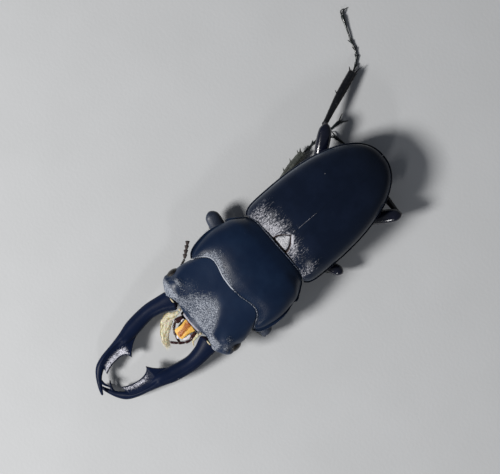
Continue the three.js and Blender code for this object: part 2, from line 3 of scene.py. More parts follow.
import bpy
import numpy as np
from mathutils import Matrix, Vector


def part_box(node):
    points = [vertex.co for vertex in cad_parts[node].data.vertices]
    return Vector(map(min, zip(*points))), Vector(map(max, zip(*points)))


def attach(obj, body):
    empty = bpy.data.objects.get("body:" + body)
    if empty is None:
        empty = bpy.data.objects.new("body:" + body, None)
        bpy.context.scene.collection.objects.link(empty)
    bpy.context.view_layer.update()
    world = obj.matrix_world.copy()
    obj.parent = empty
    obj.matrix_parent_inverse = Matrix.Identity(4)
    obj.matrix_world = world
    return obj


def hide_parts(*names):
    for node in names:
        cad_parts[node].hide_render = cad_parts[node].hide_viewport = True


# A male stag beetle, life size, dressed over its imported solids. Shapes are worked out in millimetres from
# the middle of the front of the wing cases: +X is the beetle's left, +Y runs from the jaws to the tail and
# +Z is up. HOME is where that point lies in the frame.
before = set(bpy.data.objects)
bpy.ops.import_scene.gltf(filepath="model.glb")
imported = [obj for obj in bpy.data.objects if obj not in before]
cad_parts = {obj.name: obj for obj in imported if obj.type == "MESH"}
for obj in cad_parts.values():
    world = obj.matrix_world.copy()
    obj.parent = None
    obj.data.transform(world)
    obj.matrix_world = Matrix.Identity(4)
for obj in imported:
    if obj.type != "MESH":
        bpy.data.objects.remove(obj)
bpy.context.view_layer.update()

MM = 0.001
SIDES = [("left", 1), ("right", -1)]
WING_REAR = 25.28  # from the front of the wing cases to the rearmost point of their solids


def corners(*nodes):
    """Lowest and highest corner, in mm, of the box that holds the named solids."""
    boxes = np.array([[list(corner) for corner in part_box(node)] for node in nodes]) / MM
    return boxes[:, 0].min(0), boxes[:, 1].max(0)


low, high = corners("elytron_left", "elytron_right")
HOME = np.array([(low[0] + high[0]) / 2, high[1] - WING_REAR, 0])


def spot(node):
    """Middle and half sizes of a solid, in mm, in the beetle's own measure."""
    least, most = corners(node)
    return (least + most) / 2 - HOME, (most - least) / 2


# ---- Camera ---------------------------------------------------------------------------------------
# It looks straight down from 0.3 m over the back, with the head to the lower left.
HEADING = 40.8  # degrees from the right of the view to the beetle's tail
VIEW_HEIGHT = 306  # mm from the floor to the camera
RIM_HEIGHT = 6  # mm from the floor to the wing cases' rims
VIEW_WIDTH = 94.64  # mm across the view at the height of the wing cases' rims
VIEW_CENTRE = np.array([-4.75, -3.97, VIEW_HEIGHT])
SENSOR = 36  # mm across the camera's sensor

camera_data = bpy.data.cameras.new("camera")
camera_data.sensor_width = SENSOR
camera_data.lens = SENSOR * (VIEW_HEIGHT - RIM_HEIGHT) / VIEW_WIDTH
camera_data.clip_start, camera_data.clip_end = 0.01, 10
camera = bpy.data.objects.new("camera", camera_data)
bpy.context.scene.collection.objects.link(camera)
camera.location = (VIEW_CENTRE + HOME) * MM
camera.rotation_euler = (0, 0, math.radians(90 - HEADING))
bpy.context.scene.camera = camera


# ---- Small mathematics ----------------------------------------------------------------------------
def mix(a, b, t):
    """a + (b - a) t: a at t = 0 and b at t = 1."""
    return a + (b - a) * t


def smooth(t, low, high):
    """3s^2 - 2s^3, with s the share of the way from low to high."""
    s = np.clip((t - low) / (high - low), 0, 1)
    return s * s * (3 - 2 * s)


def bell(t, at, width):
    """exp(-((t - at) / width)^2)."""
    return np.exp(-(((t - at) / width) ** 2))


def quarter(t, flat, turn=None):
    """A quarter superellipse, (1 - t^flat)^(1 / turn): 1 at t = 0, falling to 0 at t = 1."""
    return np.clip(1 - np.clip(t, 0, 1) ** flat, 0, None) ** (1 / (turn or flat))


def curve(at, rows):
    """A smooth curve through rows at the values at: on each stretch a cubic, whose slope at a row is that of
    the chord between the rows on both sides of it."""
    at, rows = np.array(at, float), np.array(rows, float)
    before, after = np.maximum(np.arange(len(at)) - 1, 0), np.minimum(np.arange(len(at)) + 1, len(at) - 1)
    tall = (slice(None),) + (None,) * (rows.ndim - 1)
    slope = (rows[after] - rows[before]) / (at[after] - at[before])[tall]

    def value(t):
        t = np.asarray(t, float)
        k = np.clip(np.searchsorted(at, t, side="right") - 1, 0, len(at) - 2)
        width = at[k + 1] - at[k]
        s = np.clip((t - at[k]) / width, 0, 1)
        if rows.ndim > 1:
            width, s = width[..., None], s[..., None]
        ends = rows[k] * (1 + 2 * s) * (1 - s) ** 2 + rows[k + 1] * s * s * (3 - 2 * s)
        return ends + width * (slope[k] * s * (1 - s) ** 2 - slope[k + 1] * s * s * (1 - s))

    return value


def through(*pairs):
    """A smooth curve through pairs of a place and the value there."""
    return curve([pair[0] for pair in pairs], [pair[1] for pair in pairs])


def route(points):
    """A smooth path through points, with the share of the running length as its parameter."""
    points = np.array(points, float)
    length = np.concatenate([[0], np.cumsum(np.linalg.norm(np.diff(points, axis=0), axis=1))])
    return curve(length / length[-1], points)


def unit(v):
    """v divided by its own length."""
    return v / np.maximum(np.linalg.norm(v, axis=-1, keepdims=True), 1e-12)


def shares(steps, ends):
    """Shares of a path's length, close together over the stretches where its ends are rounded off."""
    turn = np.linspace(0.05, math.pi / 2, 7)
    head, tail = ends[0] * (1 - np.cos(turn)), 1 - ends[1] * (1 - np.cos(turn[::-1]))
    return np.concatenate([head, np.linspace(ends[0], 1 - ends[1], steps)[1:-1], tail])


def rounding(t, ends):
    """Two quarter circles: 0 at both ends of a path, 1 between its rounded ends."""
    head, tail = np.clip(t / ends[0], 0, 1), np.clip((1 - t) / ends[1], 0, 1)
    return np.sqrt(np.clip(1 - (1 - head) ** 2, 0, 1)) * np.sqrt(np.clip(1 - (1 - tail) ** 2, 0, 1))


# ---- Meshes ---------------------------------------------------------------------------------------
class Part:
    """A closed surface: points in mm, blocks of faces of one size each, and values at the points for the
    finish."""

    def __init__(self, points, faces, **values):
        self.points, self.faces, self.values = points, faces, values
        volume = 0
        for block in faces:
            first, rest = points[block[:, 0]], points[block]
            for k in range(1, block.shape[1] - 1):
                volume += np.einsum("ij,ij->i", first, np.cross(rest[:, k], rest[:, k + 1])).sum()
        if volume < 0:
            self.faces = [block[:, ::-1] for block in faces]


def ringed(grid, flat_ends=False, **values):
    """A skin over rings of points (rings, points, 3): quads between neighbouring rings, each ring closed on
    itself, and each end closed by a fan to the ring's middle or by one flat face."""
    rows, columns = grid.shape[:2]
    corner = np.arange(rows * columns).reshape(rows, columns)
    after = np.roll(corner, -1, axis=1)
    quads = np.stack([corner[:-1], after[:-1], after[1:], corner[1:]], axis=-1).reshape(-1, 4)
    points = grid.reshape(-1, 3)
    values = {key: np.broadcast_to(value, (rows, columns)).reshape(-1) for key, value in values.items()}
    if flat_ends:
        return Part(points, [quads, corner[:1, ::-1], corner[-1:]], **values)
    middles = grid[[0, -1]].mean(axis=1)
    fans = []
    for row, middle, way in ((0, rows * columns, 1), (-1, rows * columns + 1, -1)):
        centre = np.full(columns, middle)
        fans.append(np.stack([after[row], corner[row], centre][::way], axis=-1))
    for key, value in values.items():
        ends = value.reshape(rows, columns)[[0, -1]].mean(axis=1)
        values[key] = np.concatenate([value, ends])
    return Part(np.concatenate([points, middles]), [quads, np.concatenate(fans)], **values)


def frame_along(points, t):
    """Places at shares t of the path through points, with the directions along it, level across it and
    square to both."""
    path = route(points)
    along = unit(path(np.minimum(t + 1e-3, 1)) - path(np.maximum(t - 1e-3, 0)))
    across = unit(np.cross(along, [0, 0, 1]))
    return path(t), along, across, unit(np.cross(across, along))


def limb(points, size, ends, sides, steps, shape=None, floor=None, **values):
    """A round-ended tube: at a share t of the path its section is the oval width(t) cos a, height(t) sin a,
    set square to the path. shape(a, t) gives factors for both, and no point lies lower than floor."""
    t = shares(steps, ends)
    at, _, across, rise = frame_along(points, t)
    width, height = (np.broadcast_to(part, t.shape) * rounding(t, ends) for part in size(t))
    a, tt = np.meshgrid(np.linspace(0, 2 * math.pi, sides, endpoint=False), t)
    wide, tall = shape(a, tt) if shape else (1, 1)
    flat, high = width[:, None] * np.cos(a) * wide, height[:, None] * np.sin(a) * tall
    grid = at[:, None] + across[:, None] * flat[..., None] + rise[:, None] * high[..., None]
    if floor is not None:
        grid[..., 2] = np.maximum(grid[..., 2], floor)
    return ringed(grid, **{key: value(a, tt) for key, value in values.items()})


def on_limb(points, size, t, a):
    """Points of a tube's skin at shares t and angles a, their outward directions and the tube's own
    direction."""
    at, along, across, rise = frame_along(points, t)
    width, height = (np.broadcast_to(part, t.shape) for part in size(t))
    flat, high = (width * np.cos(a))[:, None], (height * np.sin(a))[:, None]
    out = unit(across * np.cos(a)[:, None] / width[:, None] + rise * np.sin(a)[:, None] / height[:, None])
    return at + across * flat + rise * high, out, along


def egg(centre, radii, turn=0, rows=20, columns=28, dent=None, **values):
    """An ellipsoid turned about Z: its rings run from the lower pole to the upper one. dent(x, y, z) gives a
    factor on the radius at a point of the unit sphere."""
    a, b = np.meshgrid(np.linspace(0, 2 * math.pi, columns, endpoint=False), np.linspace(-1.54, 1.54, rows))
    ball = np.stack([np.cos(b) * np.cos(a), np.cos(b) * np.sin(a), np.sin(b)], axis=-1)
    grid = ball * np.array(radii, float)
    if dent:
        grid = grid * dent(*np.moveaxis(ball, -1, 0))[..., None]
    c, s = math.cos(turn), math.sin(turn)
    grid = grid @ np.array([[c, s, 0], [-s, c, 0], [0, 0, 1]])
    return ringed(grid + centre, **values)


def bristles(roots, ways, lengths, radius, droop=(0, 0, 0), place=None, sides=3, steps=3):
    """Thin stalks that taper to a point: root + way s length + droop s^2, with s from 0 to 1. Each one's
    patch on the bake map lies at its root's place there and is 0.003 across."""
    roots, ways = np.array(roots, float).reshape(-1, 3), unit(np.array(ways, float).reshape(-1, 3))
    count = len(roots)
    lengths, radius = np.broadcast_to(lengths, count), np.broadcast_to(radius, count)
    droop = np.broadcast_to(droop, (count, 3))
    s = np.linspace(0, 1, steps + 1)
    line = roots[:, None] + ways[:, None] * (lengths[:, None] * s)[..., None]
    line = line + droop[:, None] * (s**2)[:, None]
    helper = np.where(np.abs(ways[:, 2:]) > 0.9, [[1.0, 0, 0]], [[0, 0, 1.0]])
    across = unit(np.cross(ways, helper))
    other = np.cross(ways, across)
    angle = np.arange(sides) * 2 * math.pi / sides
    girth = radius[:, None] * (1 - 0.85 * s)
    ring = np.cos(angle)[:, None] * across[:, None] + np.sin(angle)[:, None] * other[:, None]
    grid = line[:, :, None] + ring[:, None] * girth[:, :, None, None]
    corner = np.arange(count * (steps + 1) * sides).reshape(count, steps + 1, sides)
    after = np.roll(corner, -1, axis=2)
    quads = np.stack([corner[:, :-1], after[:, :-1], after[:, 1:], corner[:, 1:]], axis=-1).reshape(-1, 4)
    caps = np.concatenate([corner[:, 0, ::-1], corner[:, -1]])
    tip = np.broadcast_to(s[None, :, None], corner.shape).reshape(-1)
    part = Part(grid.reshape(-1, 3), [quads, caps], tip=tip)
    place = np.random.default_rng(count).random((count, 2)) if place is None else np.array(place)
    patch = np.stack(np.broadcast_arrays(s[:, None] - 0.5, np.arange(sides) / sides - 0.5), axis=-1)
    part.patch = (place[:, None, None] * 0.99 + 0.005 + 0.003 * patch).reshape(-1, 2)
    return part


def piece(name, parts, finish, slot, *nodes):
    """One object of several parts, in metres in the frame, which rides on the body and stands for its
    solids."""
    blocks, count = [], 0
    for part in parts:
        blocks += [face for block in part.faces for face in (block + count).tolist()]
        count += len(part.points)
    mesh = bpy.data.meshes.new(name)
    points = (np.concatenate([part.points for part in parts]) + HOME) * MM
    mesh.from_pydata(points.tolist(), [], blocks)
    mesh.shade_smooth()
    for key in sorted({key for part in parts for key in part.values}):
        spread = [part.values.get(key, np.zeros(len(part.points))) for part in parts]
        mesh.attributes.new(key, "FLOAT", "POINT").data.foreach_set("value", np.concatenate(spread))
    if all(hasattr(part, "patch") for part in parts):
        corner = np.empty(len(mesh.loops), int)
        mesh.loops.foreach_get("vertex_index", corner)
        patch = np.concatenate([part.patch for part in parts])[corner]
        mesh.uv_layers.new(name="OFBake").data.foreach_set("uv", patch.ravel())
    made = bpy.data.objects.new(name, mesh)
    bpy.context.scene.collection.objects.link(made)
    mesh.materials.append(finish)
    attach(made, "root")
    if nodes:
        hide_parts(*nodes)


# ---- Finishes -------------------------------------------------------------------------------------
class Value:
    """An output of a node in a finish. Arithmetic on it adds Math nodes."""

    def __init__(self, finish, socket):
        self.finish, self.socket = finish, socket

    def math(self, operation, *terms):
        return self.finish.node("ShaderNodeMath", {"operation": operation}, dict(enumerate(terms)))

    def __add__(self, other):
        return self.math("ADD", self, other)

    def __sub__(self, other):
        return self.math("SUBTRACT", self, other)

    def __rsub__(self, other):
        return self.math("SUBTRACT", other, self)

    def __mul__(self, other):
        return self.math("MULTIPLY", self, other)

    __radd__, __rmul__ = __add__, __mul__

    def step(self, low, high):
        """0 below low and 1 above high, smooth between them."""
        limits = {"Value": self, "From Min": low, "From Max": high}
        return self.finish.node("ShaderNodeMapRange", {"interpolation_type": "SMOOTHSTEP"}, limits)


class Finish:
    """A material in the making. Its patterns are laid out in mm on the beetle."""

    def __init__(self, name):
        self.material = bpy.data.materials.new(name)
        self.material.use_nodes = True
        self.tree = self.material.node_tree
        self.tree.nodes.clear()
        scaled = {"Vector": self.node("ShaderNodeTexCoord", output="Object"), "Scale": 1 / MM}
        self.place = self.node("ShaderNodeVectorMath", {"operation": "SCALE"}, scaled)

    def node(self, kind, settings=None, inputs=None, output=0):
        """A node of that kind, with its settings first and then the values or links of its inputs."""
        node = self.tree.nodes.new(kind)
        for key, value in (settings or {}).items():
            setattr(node, key, value)
        for key, value in (inputs or {}).items():
            socket = node.inputs[key]
            if isinstance(value, Value):
                self.tree.links.new(value.socket, socket)
            else:
                socket.default_value = (*value, 1) if socket.type == "RGBA" else value
        return Value(self, node.outputs[output]) if node.outputs else None

    def noise(self, size, detail=2.0, rough=0.5, stretch=None):
        """Noise from 0 to 1 with patches of about that size in mm, drawn out by stretch along each axis."""
        place = self.place
        if stretch:
            drawn = {"Vector": place, "Scale": stretch}
            place = self.node("ShaderNodeMapping", {"vector_type": "TEXTURE"}, drawn)
        inputs = {"Vector": place, "Scale": 1 / size, "Detail": detail, "Roughness": rough}
        return self.node("ShaderNodeTexNoise", {}, inputs)

    def cells(self, size):
        """Distance to the nearest of points strewn about that far apart, in mm, as a share of that size."""
        return self.node("ShaderNodeTexVoronoi", {}, {"Vector": self.place, "Scale": 1 / size})

    def value(self, name):
        """A value that the piece holds at its points."""
        return self.node("ShaderNodeAttribute", {"attribute_name": name}, output="Fac")

    def blend(self, share, colour, other):
        """colour at share 0 and other at share 1. A Mix node's colours are its inputs 6 and 7 and its output
        2."""
        return self.node("ShaderNodeMix", {"data_type": "RGBA"}, {0: share, 6: colour, 7: other}, output=2)

    def surface(self, colour, roughness, height, depth, **fixed):
        """The shader: height, from 0 to 1, stands for depth mm of relief, and fixed numbers go to its own
        inputs."""
        relief = self.node("ShaderNodeBump", {}, {"Distance": depth * MM, "Height": height})
        inputs = {"Base Color": colour, "Roughness": roughness, "Normal": relief}
        inputs.update({key.replace("_", " "): value for key, value in fixed.items()})
        shader = self.node("ShaderNodeBsdfPrincipled", {}, inputs)
        self.node("ShaderNodeOutputMaterial", {}, {"Surface": shader})
        return self.material


DUST = (0.42, 0.43, 0.45)
RUST = (0.045, 0.02, 0.012)
# Painted highlight: a pale colour laid on the shell's granules where they glint in the key lamp.
PAINTED_HIGHLIGHT = (0.4, 0.43, 0.49)  # granules of the shell that catch the light


def shell_finish(
    name, colour, sheen, gloss, painted_highlight=PAINTED_HIGHLIGHT, lay=None, grain=0.25, points=0.25, dust=0.5, shine=0.5,
    haze=0.1, fade=0.0,
):
    """Hard shell: blue-black with a paler bloom in soft patches, reddish where its edges are thin, finely
    grained and pricked. The more grain value the piece holds, the closer it is strewn with granules in a
    pale painted highlight, drawn out by lay; fade dims them where they are few."""
    make = Finish(name)
    grain_and_highlight_amount = make.value("grain")
    fine = make.noise(0.12, 3, 0.6)
    granule = make.noise(0.2, 2, 0.7, lay)
    patchy = make.noise(1.1, 2, 0.6, lay)
    granules_and_painted_highlight = (granule + grain_and_highlight_amount * (0.1 + 0.3 * patchy)).step(0.6, 0.74) * grain_and_highlight_amount.step(0, 0.1)
    pricks = make.cells(0.3).step(0.08, 0.34)
    bloom = make.noise(3.2, 3, 0.55).step(0.35, 0.75)
    swell = make.noise(1.7, 1)
    speck = 1 - make.cells(2.6).step(0.02, 0.045)
    speck = speck * make.noise(5.5, 1).step(0.58 - 0.2 * dust, 0.64 - 0.2 * dust)
    tone = make.blend(bloom * 0.6, colour, sheen)
    strength = 0.25 + 0.75 * fine.step(0.4, 0.6) + grain_and_highlight_amount.step(1.1, 1.8)
    # Painted highlight: where the grain value is high the granules take the pale colour.
    tone = make.blend(granules_and_painted_highlight * strength * (1 - fade + fade * grain_and_highlight_amount.step(0.2, 0.9)), tone, painted_highlight)
    tone = make.blend((make.value("edge") * (0.6 + 0.5 * fine)).step(0.15, 1.1), tone, RUST)
    tone = make.blend(speck * 0.85, tone, DUST)
    roughness = gloss + 0.12 * (swell - 0.5) + 0.15 * granules_and_painted_highlight + 0.3 * speck
    height = fine * grain + granules_and_painted_highlight * (granule * 3 + fine) + pricks * points + swell * 0.8 + speck
    fixed = dict(Specular_IOR_Level=shine, Sheen_Weight=haze, Sheen_Tint=(0.6, 0.76, 1))
    return make.surface(tone, roughness, height, 0.028, **fixed)


def limb_finish(name, colour, sheen, gloss, grooves=0.0, coat=0.4):
    """Polished leg shell: nearly black, brownish in the joints and tips, with fine pits and lengthwise
    grooves."""
    make = Finish(name)
    edge = make.value("edge")
    fine = make.noise(0.12, 3, 0.6)
    pits = make.cells(0.42).step(0.1, 0.32)
    swell = make.noise(0.9, 2)
    speck = (1 - make.cells(1.9).step(0.02, 0.05)) * make.noise(3.5, 1).step(0.52, 0.6)
    tone = make.blend(swell.step(0.3, 0.8) * 0.6, colour, sheen)
    tone = make.blend(edge.step(0.1, 1), tone, RUST)
    tone = make.blend(speck * 0.7, tone, DUST)
    roughness = gloss + 0.12 * (swell - 0.5) + 0.12 * (1 - pits) + grooves * 0.1 + 0.25 * speck + 0.1 * edge
    height = fine * 0.3 + pits * 0.5 + swell * 0.6 + grooves * make.noise(0.1, 2, 0.5, (6, 6, 1))
    fixed = dict(Coat_Weight=coat, Coat_Roughness=0.1, Specular_IOR_Level=0.25)
    return make.surface(tone, roughness, height, 0.02, **fixed)


def skin_finish(name, colour, deep, gloss, folds=0.3, light_through=0.15):
    """Soft skin: pale to dark in patches, wrinkled, with some light passing into it."""
    make = Finish(name)
    patches = make.noise(0.5, 3, 0.6)
    wrinkles = make.noise(0.12, 3, 0.7, (1, 0.4, 1))
    tone = make.blend((patches + make.value("edge") * 0.8).step(0.4, 1), colour, deep)
    roughness = gloss + 0.2 * (patches - 0.5)
    height = wrinkles * folds * 2 + patches
    inner = dict(Subsurface_Weight=light_through, Subsurface_Scale=0.4 * MM, Subsurface_Radius=(1, 0.6, 0.3))
    return make.surface(tone, roughness, height, 0.06, **inner)


def hair_finish(name, root, tip):
    """Bristles: one colour at the root and another at the point, with fine streaks."""
    make = Finish(name)
    streaks = make.noise(0.2, 2, 0.6)
    tone = make.blend((make.value("tip") + 0.4 * (streaks - 0.5)).step(0.1, 1), root, tip)
    return make.surface(tone, 0.45 + 0.2 * (streaks - 0.5), streaks, 0.01)


def eye_finish(name):
    """A compound eye: dark brown, with a honeycomb of tiny lenses under a clear glaze."""
    make = Finish(name)
    lenses = make.cells(0.09)
    haze = make.noise(0.8, 2)
    tone = make.blend(haze.step(0.3, 0.75), (0.0045, 0.0035, 0.003), (0.014, 0.009, 0.007))
    tone = make.blend(lenses.step(0.35, 0.62) * 0.6, tone, (0.004, 0.003, 0.003))
    height = 1 - lenses.step(0, 0.65)
    return make.surface(tone, 0.24 + 0.15 * haze, height, 0.02, Coat_Weight=0.3, Coat_Roughness=0.15)


# The pale colour after the gloss of the wing cases, the shield and the jaws is a painted highlight on their
# granules.
WING_FINISH = shell_finish(
    "wing_case_shell", (0.0046, 0.0084, 0.0205), (0.0078, 0.0135, 0.032), 0.29, (0.54, 0.54, 0.59),
    (1, 4.5, 1), shine=0.1, fade=0.6,
)
SHIELD_FINISH = shell_finish(
    "scutellum_shell", (0.02, 0.03, 0.05), (0.05, 0.06, 0.08), 0.4, (0.6, 0.6, 0.63),
)
# Painted light: the shield and the head are brighter copies of the wing cases' blue-black, standing in for
# the light falling off from the head to the tail.
PRONOTUM_FINISH = shell_finish(
    "pronotum_shell", (0.0042, 0.0112, 0.032), (0.0075, 0.0185, 0.046), 0.32, shine=0.15,
)
HEAD_FINISH = shell_finish(
    "head_shell", (0.0045, 0.0145, 0.044), (0.009, 0.023, 0.058), 0.38, grain=0.4, shine=0.35,
)
UNDER_FINISH = shell_finish(
    "underside_shell", (0.005, 0.006, 0.009), (0.012, 0.014, 0.019), 0.36, points=0.6,
)
JAW_FINISH = shell_finish(
    "jaw_shell", (0.0042, 0.0088, 0.028), (0.0064, 0.0122, 0.037), 0.34, (0.9, 0.9, 1.0), grain=0.1,
    dust=0.7, shine=0.08, haze=0.02, fade=0.8,
)
LEG_FINISH = limb_finish("leg_polish", (0.0035, 0.0045, 0.0125), (0.0065, 0.009, 0.021), 0.2, coat=1.0)
SLATE_FINISH = shell_finish(
    "front_thigh_shell", (0.013, 0.019, 0.036), (0.052, 0.066, 0.1), 0.42, (0.26, 0.3, 0.36), grain=0.8,
    points=1.0, shine=0.4,
)
SHIN_FINISH = limb_finish("shin_polish", (0.0045, 0.0052, 0.0075), (0.013, 0.014, 0.017), 0.26, grooves=0.6)
# Pale grey-green shins for the front and middle legs.
PALE_SHIN_FINISH = limb_finish("pale_shin_polish", (0.06, 0.066, 0.06), (0.17, 0.18, 0.16), 0.45, grooves=0.6)
FOOT_FINISH = limb_finish("foot_polish", (0.006, 0.0085, 0.009), (0.017, 0.03, 0.03), 0.3)
ANTENNA_FINISH = limb_finish("antenna_polish", (0.014, 0.011, 0.011), (0.03, 0.022, 0.018), 0.3)
CLUB_FINISH = skin_finish("antenna_club_down", (0.05, 0.036, 0.034), (0.022, 0.016, 0.016), 0.75, 0.8, 0.0)
PALP_FINISH = limb_finish("palp_polish", (0.03, 0.011, 0.012), (0.07, 0.022, 0.02), 0.25)
EYE_FINISH = eye_finish("eye_glaze")
LIP_FINISH = skin_finish("lip_skin", (0.34, 0.33, 0.39), (0.05, 0.03, 0.032), 0.4)
FLAP_FINISH = skin_finish("mouth_skin", (0.82, 0.8, 0.84), (0.36, 0.24, 0.24), 0.4, 0.6, 0.3)
TONGUE_FINISH = skin_finish("tongue_skin", (0.36, 0.085, 0.01), (0.86, 0.5, 0.1), 0.28, 0.4, 0.4)
BRUSH_FINISH = skin_finish("brush_skin", (0.82, 0.76, 0.57), (0.3, 0.24, 0.08), 0.5, 1.0, 0.4)
MEMBRANE_FINISH = skin_finish("joint_skin", (0.6, 0.53, 0.36), (0.28, 0.16, 0.1), 0.45, 0.8, 0.3)
NECK_FINISH = skin_finish("neck_skin", (0.03, 0.018, 0.013), (0.012, 0.008, 0.007), 0.5, 1.0, 0.0)
STRAW_HAIR = hair_finish("straw_hair", (0.6, 0.52, 0.3), (0.86, 0.82, 0.68))
DARK_HAIR = hair_finish("dark_hair", (0.012, 0.009, 0.008), (0.06, 0.04, 0.028))


# ---- Wing cases -----------------------------------------------------------------------------------
WING = dict(front=-0.78, widest=5.0, highest=8.5, apex=25.0, half=9.3, top=11.4, rim=6.3, drop=2.0, wall=0.5)
TAPER = WING["apex"] - WING["widest"]
OUTLINE_POWER = 2.25  # of the superellipse that bounds the wing cases behind their widest place
SEAM = 0.006  # from the midline to each wing case
SHIELD = dict(front=-0.65, tip=1.95, half=1.5)


def wing_top(y):
    """Height of the ridge: it falls from the highest point as a power of the way to the front, and as a
    quarter superellipse to the apex."""
    behind = quarter((y - WING["highest"]) / (WING["apex"] - WING["highest"]), 2.1, 1.9)
    ahead = np.maximum(WING["highest"] - y, 0) / 9.5
    top = WING["top"] - WING["drop"] * ahead**3.2
    return np.where(y > WING["highest"], WING["rim"] + (WING["top"] - WING["rim"]) * behind, top)


def wing_half(y):
    """Half width of the domed part: rounded off at the shoulder, and a superellipse behind the widest
    place."""
    ahead = WING["half"] - 1.0 * np.exp((WING["front"] - y) / 0.8)
    behind = WING["half"] * quarter((y - WING["widest"]) / TAPER, OUTLINE_POWER)
    return np.where(y < WING["widest"], ahead, behind)


def wing_outline():
    """Rows from the front to the apex: their places, half widths and the outline's outward direction."""
    ahead = WING["front"] + (WING["widest"] - WING["front"]) * np.linspace(0, 1, 40) ** 1.4
    turn = np.append(np.linspace(0, math.pi / 2 - 0.015, 100)[1:], math.pi / 2 - 0.003)
    behind = WING["widest"] + TAPER * np.sin(turn) ** (2 / OUTLINE_POWER)
    y = np.concatenate([ahead, behind])
    half = np.concatenate([wing_half(ahead), WING["half"] * np.cos(turn) ** (2 / OUTLINE_POWER)])
    normal = unit(np.stack([np.gradient(y), -np.gradient(half)], axis=-1))
    return y, half, normal


# how thick the painted highlight of pale granules is at the base of each wing case, by distance from the
# midline
PAINTED_HIGHLIGHT_LEFT = through(
    (0, 1.1), (1.5, 0.95), (3, 0.75), (4, 0.5), (4.6, 0.2), (5.7, 0.2), (6.3, 0.5), (7.5, 0.55), (8.1, 0.1),
    (8.4, 0), (9.6, 0),
)
PAINTED_HIGHLIGHT_RIGHT = through((0, 1.1), (3, 1.0), (4.5, 0.85), (7.3, 0.65), (8.1, 0.4), (8.6, 0), (9.6, 0))


